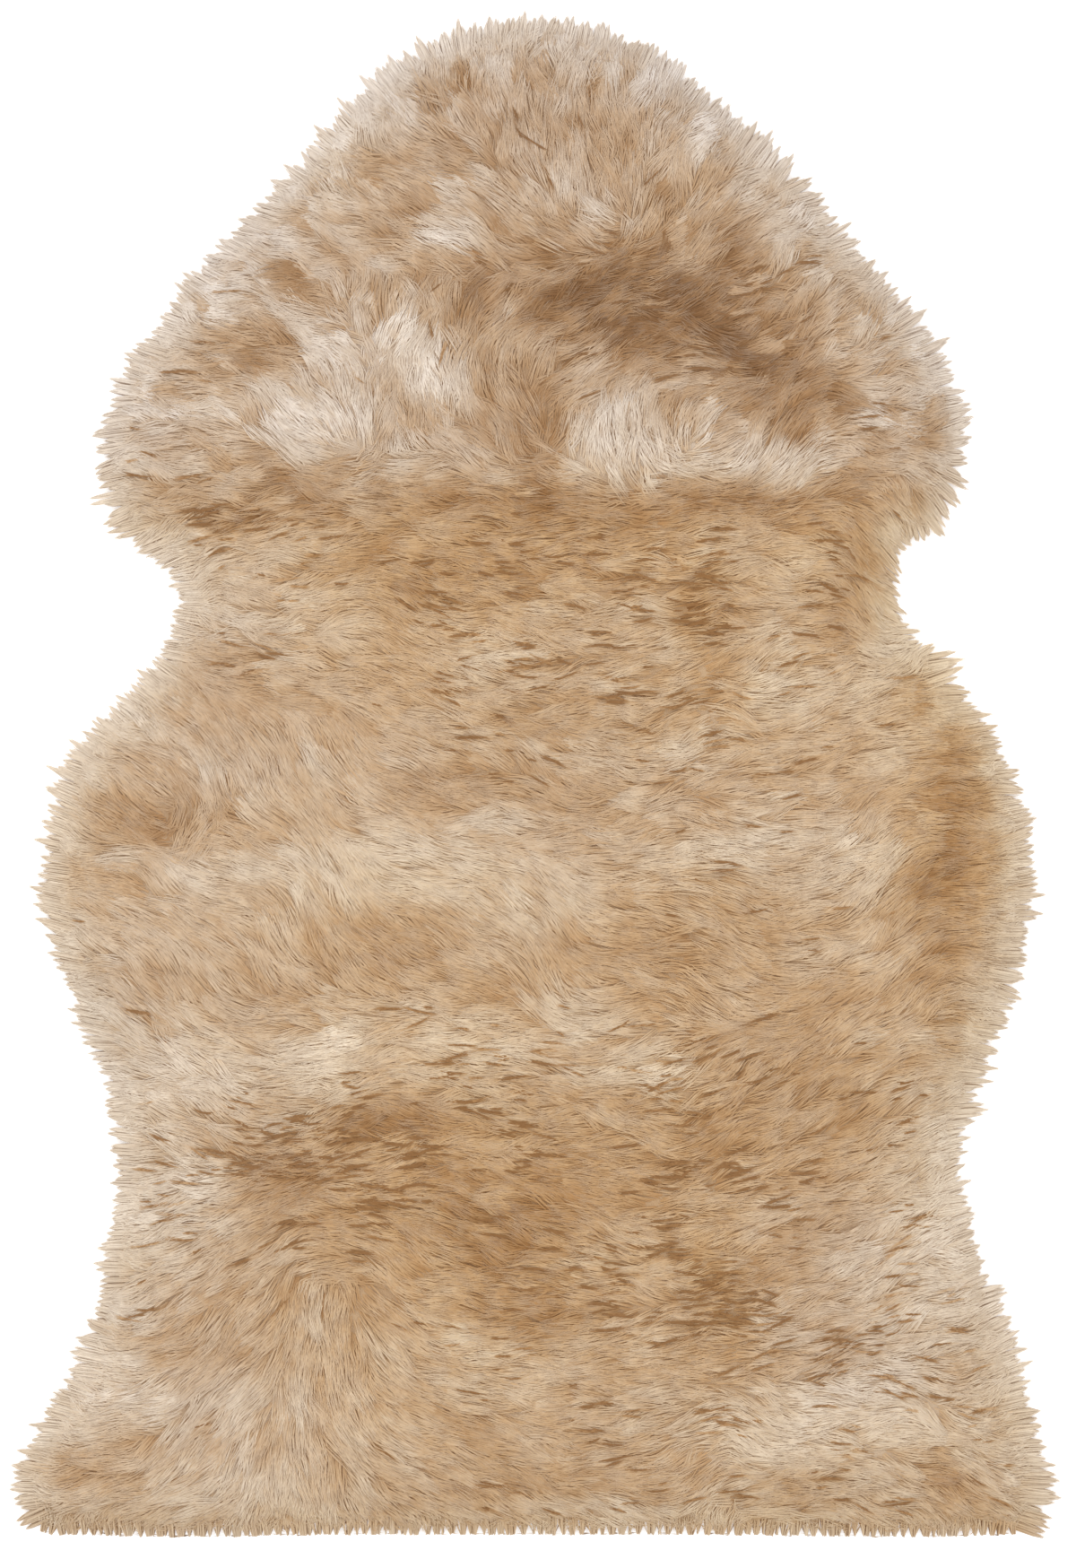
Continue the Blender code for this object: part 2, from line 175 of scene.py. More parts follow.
# Lighter and darker parts of the fleece. Places are in millimetres to the right of the spine
# and from the hind edge, sizes in millimetres and turns in degrees.
PATCHES = (
    # name, right, along, half length, half width, turn, change of shade
    ("crown_middle", 2, 831, 40, 27, -15, -0.12),
    ("crown_left_tan", -99, 772, 48, 16, 25, -0.10),
    ("cream_curls", 26, 801, 16, 16, 0, 0.10),
    ("dark_saddle", 74, 727, 69, 28, -4, -0.36),
    ("dark_saddle_left", -19, 740, 40, 17, 0, -0.17),
    ("dark_saddle_right", 138, 689, 32, 19, -20, -0.24),
    ("dark_saddle_top", 87, 761, 27, 15, 0, -0.14),
    ("left_tuft", -94, 705, 29, 24, 0, 0.24),
    ("left_tuft_right", -57, 692, 17, 18, 0, 0.22),
    ("left_tuft_low", -129, 665, 32, 14, -20, 0.34),
    ("temple_tan", -166, 700, 22, 14, -25, -0.12),
    ("temple_pale", -201, 668, 21, 14, 0, 0.14),
    ("nape_gap", 0, 654, 14, 28, 10, -0.28),
    ("nape_band", 93, 638, 72, 13, -3, 0.30),
    ("nape_band_left", 31, 644, 21, 17, 0, 0.18),
    ("right_ear_tan", 188, 647, 27, 21, 0, -0.14),
    # the three shoulder_line rows are painted shadow under the neck's wool, where it lies over the back
    ("shoulder_line", -41, 609, 123, 13, 0, -0.16),
    ("shoulder_line_left", -185, 611, 32, 12, 4, -0.14),
    ("shoulder_line_right", 140, 609, 75, 12, 0, -0.14),
    ("shoulder_honey", -27, 574, 59, 22, 0, -0.14),
    ("shoulder_left_pale", -166, 564, 32, 26, 0, 0.12),
    ("armpit_left_tan", -193, 523, 20, 14, 0, -0.10),
    ("rusty_tangle", 97, 552, 13, 18, 0, -0.15),
    ("armpit_right_tan", 196, 561, 21, 32, 0, -0.18),
    ("saddle_pale", -27, 529, 18, 7, 0, 0.18),
    ("right_rib_pale", 151, 500, 40, 18, 8, 0.16),
    ("left_rib_tan", -187, 497, 37, 16, 0, -0.08),
    ("left_rib_pale", -126, 457, 48, 13, 0, 0.05),
    ("right_flank_honey", 248, 415, 80, 18, 88, -0.24),
    ("girth_brown", -41, 446, 48, 10, 0, -0.13),
    ("fan_pale", 93, 465, 21, 10, 0, 0.12),
    ("left_belly_honey", -222, 425, 32, 17, 0, -0.10),
    ("belly_pale", -94, 396, 91, 19, 0, 0.17),
    ("belly_pale_right", 130, 415, 37, 14, 5, 0.20),
    ("belly_ridge", 191, 409, 16, 19, 60, 0.16),
    ("belt_tan", -94, 348, 40, 17, 0, -0.09),
    ("belt_tan_right", 79, 354, 40, 18, 0, -0.12),
    ("right_loin_tan", 146, 303, 45, 19, 20, -0.10),
    ("left_hip_pale", -203, 276, 51, 26, 0, 0.20),
    ("cream_whorl", -120, 286, 19, 21, 0, 0.24),
    ("cream_saddle", -27, 296, 56, 16, 0, 0.17),
    ("cream_saddle_right", 74, 282, 24, 14, -10, 0.20),
    ("tangle_brown", -86, 251, 26, 10, 0, -0.24),
    ("tangle_brown_left", -142, 222, 27, 11, 0, -0.14),
    ("rump_honey", -41, 207, 101, 37, 0, -0.12),
    ("rump_honey_deep", -19, 178, 32, 26, 0, -0.14),
    ("hip_right_honey", 135, 247, 59, 26, 18, -0.14),
    ("rump_low", -3, 138, 40, 13, 0, -0.16),
    ("rusty_tangle_low", 103, 143, 19, 14, 20, -0.13),
    ("thigh_left_pale", -219, 196, 37, 25, 85, 0.20),
    ("thigh_right_pale", 234, 170, 59, 25, 80, 0.27),
    ("hind_right_pale", 191, 76, 56, 21, 0, 0.26),
    ("hind_right_tan", 244, 87, 16, 11, 0, -0.10),
    ("hind_left_pale", -249, 90, 32, 16, 0, 0.22),
    ("hind_left_tuft", -166, 79, 27, 11, 0, 0.12),
    ("hind_left_low", -169, 34, 51, 16, 0, 0.17),
    ("hind_middle_pale", 125, 58, 29, 14, 0, 0.14),
    ("hind_strip_tan", -35, 28, 59, 11, 0, -0.12),
    ("heel_brown", 246, 30, 15, 9, -40, -0.22),
    ("hock_brown", 164, 21, 13, 7, 0, -0.10),
    ("toe_left_tan", -270, 44, 27, 12, 0, -0.12),
    ("streak_light", -41, 115, 15, 6, -6, 0.16),
)

# Warmer and greyer parts of the fleece, in the same terms.
WARMER = (
    # name, right, along, half length, half width, turn, change of warmth
    ("shoulder_warm", -30, 585, 91, 32, 0, 0.26),
    ("rump_warm", -19, 196, 80, 59, 0, 0.30),
    ("right_flank_warm", 244, 447, 107, 32, 90, 0.32),
    ("right_armpit_warm", 188, 580, 48, 32, 0, 0.26),
    ("right_loin_warm", 162, 244, 53, 29, 0, 0.12),
    ("left_side_cool", -217, 335, 203, 59, 90, -0.26),
    ("left_thigh_cool", -217, 79, 80, 59, 0, -0.24),
    ("girth_cool", -131, 473, 80, 32, 0, -0.26),
    ("middle_cool", 23, 431, 128, 29, 0, -0.20),
    ("crown_cool", 18, 857, 101, 32, 0, -0.26),
    ("right_thigh_cool", 199, 138, 69, 59, 0, -0.22),
    ("left_brow_cool", -158, 751, 43, 27, 0, -0.22),
    ("left_armpit_cool", -185, 543, 37, 37, 0, -0.24),
    ("hind_strip", 2, 9, 331, 9, 0, 0.18),
    ("middle_honey", -19, 505, 128, 64, 0, 0.06),
    ("tangle_rust_low", 106, 148, 14, 32, 10, 0.30),
    ("tangle_rust_high", 98, 555, 12, 27, 0, 0.30),
)

# Where the fleece is parted into separate locks, and where it is smooth, in the same terms.
PARTINGS = (
    # name, right, along, half length, half width, turn, change of parting
    ("neck_smooth", 2, 793, 224, 101, 0, -0.35),
    ("tuft_combed", -83, 697, 59, 48, 0, -0.15),
    ("cream_band_combed", 87, 644, 80, 21, 0, -0.30),
    ("belly_smooth", -62, 388, 139, 59, 0, -0.45),
    ("left_flank_smooth", -254, 388, 37, 96, 0, -0.25),
    ("hind_left_smooth", -190, 63, 91, 59, 0, -0.25),
    ("hind_middle_smooth", -89, 58, 64, 43, 0, -0.20),
    ("girth_parted", 13, 527, 91, 48, 0, 0.22),
    ("rump_parted", 13, 218, 139, 64, 0, 0.18),
    ("shoulder_parted", -169, 612, 64, 21, 0, 0.15),
    ("right_thigh_parted", 204, 111, 80, 59, 0, 0.12),
    ("left_rib_smooth", -142, 468, 59, 27, 0, -0.25),
    ("tangle_parted", 98, 552, 16, 23, 0, 0.60),
    ("tangle_low_parted", 104, 143, 21, 23, 10, 0.50),
    ("hip_parted", -142, 239, 48, 27, 0, 0.30),
    ("saddle_parted", 2, 452, 85, 21, 0, 0.12),
    ("crown_parted", 50, 777, 37, 27, 0, 0.20),
    ("left_side_smooth", -185, 399, 59, 80, 0, -0.10),
    ("dark_saddle_parted", 85, 732, 80, 28, 0, 0.42),
    ("hind_left_low_smooth", -131, 108, 56, 32, 0, -0.22),
    ("left_shoulder_low_smooth", -123, 484, 51, 32, 0, -0.22),
    ("right_flank_smooth", 215, 388, 69, 107, 0, -0.25),
)

# Where the rim's locks are longer, in the same terms.
FULLER = (
    # name, right, along, half length, half width, turn, millimetres more
    ("right_flank", 242, 520, 16, 32, 0, 5.20),
    ("right_flank_low", 260, 489, 13, 19, 0, 4.50),
    ("left_waist", -246, 591, 13, 18, 0, 5.00),
    ("left_flank", -249, 495, 15, 18, 0, 4.00),
    ("left_belly", -286, 441, 16, 18, 0, 5.00),
    ("right_shoulder", 239, 716, 16, 24, 0, 5.00),
    ("left_corner", -303, 31, 16, 27, 0, 3.50),
    ("right_corner", 307, 18, 16, 21, 0, 4.50),
    ("right_dome", 215, 740, 18, 18, 0, 3.00),
    ("right_waist", 217, 559, 13, 16, 0, 3.50),
    ("right_hip", 259, 231, 13, 32, 0, 3.50),
    ("dome_right", 140, 825, 27, 16, 0, 3.50),
)

# A strand from its root in the bed to its tip. Heights are over the wool's surface, and a
# strand keeps this share of its place across the lock, where the fleece is smooth and where
# it is parted into separate locks.
LEVELS = (
    # share of the length, smooth height, smooth share, parted height, parted share, width
    (0.00, -2.8 * MM, 1.00, -3.2 * MM, 1.00, 1.00),
    (0.46, 0.0 * MM, 0.94, 0.0 * MM, 0.90, 0.90),
    (1.00, -0.5 * MM, 0.66, 0.4 * MM, 0.26, 0.00),
)


# Maps of the rug, read at any place


GRID_X = np.arange(-0.336, 0.3361, GRID_STEP)
GRID_Y = np.arange(-0.480, 0.4801, GRID_STEP)


def sample(grid, x, y, step=GRID_STEP):
    """Reads a map at places between its points."""
    u = ((x - GRID_X[0]) / step).clip(0.0, grid.shape[1] - 1.001)
    v = ((y - GRID_Y[0]) / step).clip(0.0, grid.shape[0] - 1.001)
    i = u.astype(int)
    j = v.astype(int)
    u -= i
    v -= j
    low = grid[j, i] * (1.0 - u) + grid[j, i + 1] * u
    high = grid[j + 1, i] * (1.0 - u) + grid[j + 1, i + 1] * u
    return low * (1.0 - v) + high * v


def smoothed(grid, rounds):
    """A map averaged with the places beside it, this many times over."""
    for _ in range(rounds):
        wide = np.pad(grid, 1, mode="edge")
        across = wide[1:-1, :-2] + wide[1:-1, 2:] + 2.0 * wide[1:-1, 1:-1]
        wide = np.pad(across / 4.0, 1, mode="edge")
        grid = (wide[:-2, 1:-1] + wide[2:, 1:-1] + 2.0 * wide[1:-1, 1:-1]) / 4.0
    return grid


def cloud(size, seed):
    """A soft random map from about -1 to 1, with blotches of this size."""
    values = [[noise.noise((x / size, y / size, seed)) for x in GRID_X] for y in GRID_Y]
    return 1.6 * np.array(values)


def across_of(way):
    """Square to these directions, to their left."""
    return np.stack([-way[..., 1], way[..., 0]], axis=-1)


def unit(vectors, least=0.0):
    """The same directions with a length of 1."""
    return vectors / (np.linalg.norm(vectors, axis=-1, keepdims=True) + least)


def turned(dx, dy, angle):
    """These distances as distances along and across a line at this angle."""
    cos, sin = math.cos(angle), math.sin(angle)
    return dx * cos + dy * sin, dy * cos - dx * sin


def merged_copy(node):
    """A CAD node's mesh with its loose triangles joined."""
    mesh = bmesh.new()
    mesh.from_mesh(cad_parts[node].data)
    bmesh.ops.remove_doubles(mesh, verts=mesh.verts, dist=1e-5)
    mesh.normal_update()
    return mesh


def skin_outline():
    """The hide's outline, counter-clockwise from its rightmost point."""
    mesh = merged_copy("hide")
    upper = [face for face in mesh.faces if face.normal.z > -0.5]
    bmesh.ops.delete(mesh, geom=upper, context="FACES")
    rim = [vert for vert in mesh.verts if any(edge.is_boundary for edge in vert.link_edges)]
    here = max(rim, key=lambda vert: (vert.co.x, vert.co.y))
    loop = []
    came_by = None
    while not loop or here.index != loop[0][0]:
        loop.append((here.index, here.co.x, here.co.y))
        came_by = next(e for e in here.link_edges if e.is_boundary and e != came_by)
        here = came_by.other_vert(here)
    mesh.free()
    points = np.array(loop)[:, 1:]
    onward = np.roll(points, -1, axis=0)
    turns = (points[:, 0] * onward[:, 1] - points[:, 1] * onward[:, 0]).sum()
    return points if turns > 0.0 else points[::-1]


def top_at(tree, x, y):
    """The height at which a ray from above meets this mesh, or None where it misses."""
    hit = tree.ray_cast(Vector((x, y, RAY_HEIGHT)), Vector((0, 0, -1)))[0]
    return None if hit is None else hit.z


def depth_map(loop, tree):
    """How far every place is inside the foot of the wool, less than 0 outside it."""
    x, y = np.meshgrid(GRID_X, GRID_Y)
    places = np.stack([x.ravel(), y.ravel()], axis=1)
    side = np.roll(loop, -1, axis=0) - loop
    length = (side**2).sum(axis=1)
    depth = []
    for part in np.array_split(places, BATCHES):
        reach = part[:, None, :] - loop[None, :, :]
        share = ((reach * side).sum(axis=2) / length).clip(0.0, 1.0)
        depth.append(np.linalg.norm(reach - share[:, :, None] * side, axis=2).min(axis=1))
    depth = np.concatenate(depth)
    inside = [top_at(tree, *place) is not None for place in places]
    return SLAB_RIM + np.where(inside, depth, -depth).reshape(x.shape)


def wool_surface(depth, tree):
    """The height of the combed wool: the CAD's inside its foot, and a round fall outside."""
    standing = np.array([[top_at(tree, x, y) or 0.0 for x in GRID_X] for y in GRID_Y])
    share = (-depth / RIM_FALL).clip(0.0, 1.0)
    fall = RIM_TOP * np.sqrt(1.0 - share**2)
    return smoothed(np.where(depth > 1.0 * MM, standing, fall), 2)


def outward_way(depth):
    """The way to the nearest part of the rim."""
    up, right = np.gradient(smoothed(depth, 4))
    size = np.hypot(up, right) + 1e-9
    return -right / size, -up / size


def near_the_rim(depth, reach):
    """1 at the foot of the wool, falling to 0 further in."""
    return np.exp(-((depth.clip(0.0) / reach) ** 2))


def combed_maps(depth):
    """The line of the hair as a doubled angle, and the way along it, at every place."""
    out_x, out_y = outward_way(depth)
    x, y = np.meshgrid(GRID_X, GRID_Y)
    outward = 0.04 + 0.4 * near_the_rim(depth, 0.011)
    line_x = outward * (out_x**2 - out_y**2)
    line_y = outward * (2.0 * out_x * out_y)
    way_x = outward * out_x
    way_y = outward * out_y
    total = outward + 0.05
    for rows in COMBING.values():
        for right, along, heading, reach in rows:
            dx = x - right * MM
            dy = y - (FLEECE_LOW.y + along * MM)
            weight = np.exp(-(dx**2 + dy**2) / (2.0 * (reach * MM) ** 2))
            angle = math.radians(heading)
            line_x += weight * math.cos(2.0 * angle)
            line_y += weight * math.sin(2.0 * angle)
            way_x += weight * math.cos(angle)
            way_y += weight * math.sin(angle)
            total = total + weight
    lively = 1.0 + 0.8 * neck_map()
    angle = 0.5 * np.arctan2(line_y, line_x) + lively * 0.20 * cloud(0.020, 14.5)
    angle += lively * 0.12 * cloud(0.009, 15.5)
    outer = near_the_rim(depth, 0.014)
    return {
        "line_x": np.cos(2.0 * angle),
        "line_y": np.sin(2.0 * angle),
        "way_x": smoothed(way_x / total, WAY_ROUNDS) * (1.0 - outer) + out_x * outer,
        "way_y": smoothed(way_y / total, WAY_ROUNDS) * (1.0 - outer) + out_y * outer,
    }


def line_of(maps, x, y):
    """The hair's line at these places, as unit vectors with either sign."""
    angle = 0.5 * np.arctan2(sample(maps["line_y"], x, y), sample(maps["line_x"], x, y))
    return np.cos(angle), np.sin(angle)


def onward_line(maps, place, heading):
    """The hair's line at these places, with the sign that goes on with this heading."""
    line = np.stack(line_of(maps, *place.T), axis=1)
    return line * np.sign((line * heading).sum(axis=1) + 1e-9)[:, None]


def drawn_out(maps, grid, steps):
    """A map drawn out along the hair, so that its blotches become streaks."""
    x, y = (side.ravel() for side in np.meshgrid(GRID_X, GRID_Y))
    start = np.stack(line_of(maps, x, y), axis=1)
    total = sample(grid, x, y)
    for sign in (-1.0, 1.0):
        place = np.stack([x, y], axis=1)
        heading = sign * start
        for _ in range(steps):
            place = place + heading * 2.0 * MM  # one step along the hair
            heading = onward_line(maps, place, heading)
            total = total + sample(grid, *place.T)
    total = total.reshape(grid.shape)
    return (total - total.mean()) / total.std()


PATCH_EDGE = 1.25  # above 1, a patch is flatter inside and ends sooner
PATCH_FALL = 0.6  # a patch has exp(-0.6) of its change at its half length and width


def patched(patches):
    """The sum of soft-edged patches with broken borders."""
    x, y = np.meshgrid(GRID_X, GRID_Y)
    drift_x = 7.0 * MM * cloud(0.022, 1.5) + 4.0 * MM * cloud(0.009, 8.5)
    drift_y = 4.0 * MM * cloud(0.022, 4.5) + 2.5 * MM * cloud(0.009, 6.5)
    total = np.zeros(x.shape)
    for _, right, along, half_long, half_wide, turn, change in patches:
        angle = math.radians(turn)
        dx = x + drift_x - right * MM
        dy = y + drift_y - (FLEECE_LOW.y + along * MM)
        far_long, far_wide = turned(dx, dy, angle)
        far = (far_long / (half_long * MM)) ** 2 + (far_wide / (half_wide * MM)) ** 2
        total += change * np.exp(-(far**PATCH_EDGE) * PATCH_FALL)
    return total


NECK_START = 0.60  # from the hind edge
NECK_BLEND = 0.05  # and whole this much further on
MIDDLE_SHADE = 0.57
PATCH_STRENGTH = 1.25
RIM_PALER = 0.35  # the foot of the wool is this much paler
RIM_PALER_REACH = 0.0155
HIND_REACH = 0.016  # the rim isn't paler this near the hind edge
SHADE_SPAN = 0.6  # shades nearly this far from the middle are pressed together


def neck_map():
    """1 on the neck, where the wool is livelier, and 0 on the back."""
    share = ((GRID_Y - FLEECE_LOW.y - NECK_START) / NECK_BLEND).clip(0.0, 1.0)
    return np.repeat(share[:, None], len(GRID_X), axis=1)


def shade_map(depth):
    """From 0, dark brown, to 1, cream: paler at the rim, with the patches of the fleece."""
    hind = np.exp(-(((GRID_Y - FLEECE_LOW.y) / HIND_REACH) ** 2).clip(0.0, 20.0))[:, None]
    paler = RIM_PALER * np.exp(-depth.clip(0.0) / RIM_PALER_REACH) * (1.0 - hind)
    shade = MIDDLE_SHADE + paler + PATCH_STRENGTH * patched(PATCHES)
    neck = neck_map()
    shade += (0.045 + 0.07 * neck) * cloud(0.018, 2.5) + (0.03 + 0.03 * neck) * cloud(0.007, 3.5)
    return 0.5 + SHADE_SPAN * np.tanh((shade - 0.5) / SHADE_SPAN)


def warmth_map():
    """The neck is greyer than the honey-brown back."""
    return 0.73 - 0.47 * neck_map() + patched(WARMER) + 0.07 * cloud(0.05, 7.5)


SLIT_HALF_LENGTHS = (3.0, 10.5)  # millimetres
SLIT_PAINTED_SHADOW = 0.42  # how dark the painted shadow below a slit is, and how pale the painted highlight on the ridge beside it
SLIT_PAINTED_HIGHLIGHT = 0.24


def part_slits(maps, chance):
    """Where the wool parts in slits: short lines, most of them along the hair."""
    x, y = staggered(SLIT_SPACING, 0.5, chance)
    often = sample(maps["slits"], x, y) * (sample(maps["depth"], x, y) > 9.0 * MM)
    kept = chance.uniform(0.0, 1.0, len(x)) < often
    x, y = x[kept], y[kept]
    count = len(x)
    level = 0.6 * sample(maps["line_x"], x, y) + 0.4
    angle = 0.5 * np.arctan2(0.6 * sample(maps["line_y"], x, y), level)
    half_long = MM * chance.uniform(*SLIT_HALF_LENGTHS, count)
    return {
        "x": x,
        "y": y,
        "angle": angle + chance.normal(0.0, 0.16, count),
        "half_long": half_long,
        "half_wide": (0.20 * MM + 0.037 * half_long) * chance.uniform(0.7, 1.5, count),
        "strength": chance.uniform(0.35, 0.95, count),
        "bend": chance.normal(0.0, 0.05, count),
    }


def slit_fringes(slits):
    """A fine map of painted light round every slit: a soft brown painted shadow below it and a painted
    highlight on the ridge above it.
    """
    fine_x = np.arange(GRID_X[0], GRID_X[-1], FINE_STEP)
    fine_y = np.arange(GRID_Y[0], GRID_Y[-1], FINE_STEP)
    dark = np.zeros((len(fine_y), len(fine_x)))
    for x, y, angle, half_long, half_wide, strength, bend in zip(*slits.values()):
        near = int(1.9 * half_long / FINE_STEP)
        i = int((x - GRID_X[0]) / FINE_STEP)
        j = int((y - GRID_Y[0]) / FINE_STEP)
        window = np.s_[max(j - near, 0):j + near, max(i - near, 0):i + near]
        dx = fine_x[None, window[1]] - x
        dy = fine_y[window[0], None] - y
        along, across = turned(dx, dy, angle)
        along = along / half_long
        across = across / half_wide - bend * along**2 * half_long / half_wide
        # painted shadow below the slit and painted highlight on the ridge above it
        fringe = SLIT_PAINTED_SHADOW * np.exp(-(1.2 * along**2) - ((across + 0.6) / 1.45) ** 2)
        ridge = SLIT_PAINTED_HIGHLIGHT * np.exp(-(along**2) - ((across - 3.5) / 2.0) ** 2)
        dark[window] += strength * (fringe - ridge)
    return dark.clip(-0.10, 0.40)


# Locks of wool


def comb_locks(maps, locks, length):
    """The middle line of every lock, root to tip, and its heading at each point."""
    x, y = locks["x"], locks["y"]
    step_x, step_y = line_of(maps, x, y)
    way = step_x * sample(maps["way_x"], x, y) + step_y * sample(maps["way_y"], x, y)
    doubt = sample(maps["tufts"], x, y) + 0.9 * locks["doubt"]
    sign = np.where(way + 0.5 * doubt < 0.0, -1.0, 1.0)
    heading = np.stack([step_x * sign, step_y * sign], axis=1)
    places = [np.stack([x, y], axis=1)]
    headings = []
    for start, end in zip(LEVELS, LEVELS[1:]):
        bent = unit(heading + locks["turn"][:, None] * across_of(heading))
        headings.append(bent)
        places.append(places[-1] + bent * (length * (end[0] - start[0]))[:, None])
        heading = onward_line(maps, places[-1], heading)
    headings.append(headings[-1])
    return np.stack(places, axis=1), np.stack(headings, axis=1)


def staggered(spacing, loose, chance):
    """Places in staggered rows over the whole map, each a little out of line."""
    rows = np.arange(GRID_Y[0], GRID_Y[-1], 0.866 * spacing)
    columns = np.arange(GRID_X[0], GRID_X[-1], spacing)
    x, y = np.meshgrid(columns, rows)
    x = (x + 0.5 * spacing * (np.arange(len(rows)) % 2)[:, None]).ravel()
    x = x + loose * spacing * chance.standard_normal(len(x))
    y = y.ravel() + loose * spacing * chance.standard_normal(len(x))
    return x, y


def plant_locks(maps, chance):
    """Roots of locks all over the fleece. Neighbouring locks belong to one tuft: they turn,
    lie high and take their tone together, and their tips draw in to the tuft's middle."""
    x, y = staggered(LOCK_SPACING, 0.34, chance)
    kept = sample(maps["depth"], x, y) > 2.0 * MM
    x, y = x[kept], y[kept]
    middle_x, middle_y = staggered(TUFT_SPACING, 0.28, chance)
    nearest = []
    for part in np.array_split(np.arange(len(x)), BATCHES):
        far = (x[part, None] - middle_x) ** 2 + (y[part, None] - middle_y) ** 2
        nearest.append(far.argmin(axis=1))
    tuft = np.concatenate(nearest)
    line_x, line_y = line_of(maps, middle_x, middle_y)
    aside = (y - middle_y[tuft]) * line_x[tuft] - (x - middle_x[tuft]) * line_y[tuft]
    lively = 1.0 + 0.9 * sample(maps["neck"], x, y)
    count = len(middle_x)
    turn = 0.13 * chance.standard_normal(count)[tuft] + 0.07 * chance.standard_normal(len(x))
    return {
        "x": x,
        "y": y,
        "side_x": -line_y[tuft],
        "side_y": line_x[tuft],
        "aside": aside,
        "edge": (np.abs(aside) / (0.62 * TUFT_SPACING)).clip(0.0, 1.0) ** 2,
        "turn": lively * turn,
        "tone": lively * 0.05 * chance.standard_normal(count)[tuft],
        "lift": lively * 0.5 * MM * chance.standard_normal(count)[tuft],
        "doubt": chance.standard_normal(len(x)),
    }


SHORTENINGS = 9
SHORTER = 0.78
TRIMMED_STRIP = 22.0 * MM  # along the hind edge, where the locks are cut


def kept_in(maps, locks, length):
    """Lock lengths, shortened where a lock would pass the foot of the wool."""
    trimmed = MM * (2.5 + 3.5 * locks["doubt"].clip(-1.0, 1.0))
    for _ in range(SHORTENINGS):
        tips = comb_locks(maps, locks, length)[0][:, -1]
        allowed = np.where(tips[:, 1] < FLEECE_LOW.y + TRIMMED_STRIP, trimmed, -3.0 * MM)
        length = np.where(sample(maps["depth"], *tips.T) < allowed, SHORTER * length, length)
    return length


LOCK_LENGTHS = (0.80, 1.16)  # of LOCK_LENGTH, shortest and longest
LOCK_RADII = (0.8, 1.25)  # of LOCK_RADIUS
STRAND_REACHES = (0.76, 1.10)  # of its lock's length
STRAND_WIDTHS = (0.7, 1.15)  # of STRAND_WIDTH
STRAY = 1.2 * MM  # tips stray this far across the lock
DRIFT = 1.2 * MM  # a strand takes its tone from this far off its place


def lock_lift(maps, locks, parted, tips, chance):
    """How high every lock lies, over or under the wool's surface."""
    ridge = sample(maps["streaks"], *tips.T)[:, None]
    lift = MM * (0.8 + 0.5 * parted) * ridge + locks["lift"][:, None]
    lift += MM * (0.15 + 0.30 * parted) * chance.standard_normal((len(tips), 1))
    return lift - MM * (0.5 + 0.5 * parted) * locks["edge"][:, None]


def field_shades(maps, locks, points, parted, spread, chance):
    """The shade of every strand: the fleece's there, its lock's and a little its own, with painted
    shade towards the sides of its tuft and, where the fleece is parted, of its lock.
    """
    count, many = spread.shape
    # 0.06 * edge and 0.05 * parted * spread**2 are painted shade at the sides of the tuft and of the
    # lock
    own = np.repeat(locks["tone"] - 0.06 * locks["edge"], many)
    own += np.repeat(0.018 * chance.standard_normal(count), many)
    own += 0.010 * chance.standard_normal(count * many) - 0.05 * (parted * spread**2).ravel()
    drift = DRIFT * chance.standard_normal((count * many, 2))
    shade = strand_shades(maps, points, drift) + own[:, None]
    shade[:, 0] = shade[:, 1]
    return shade


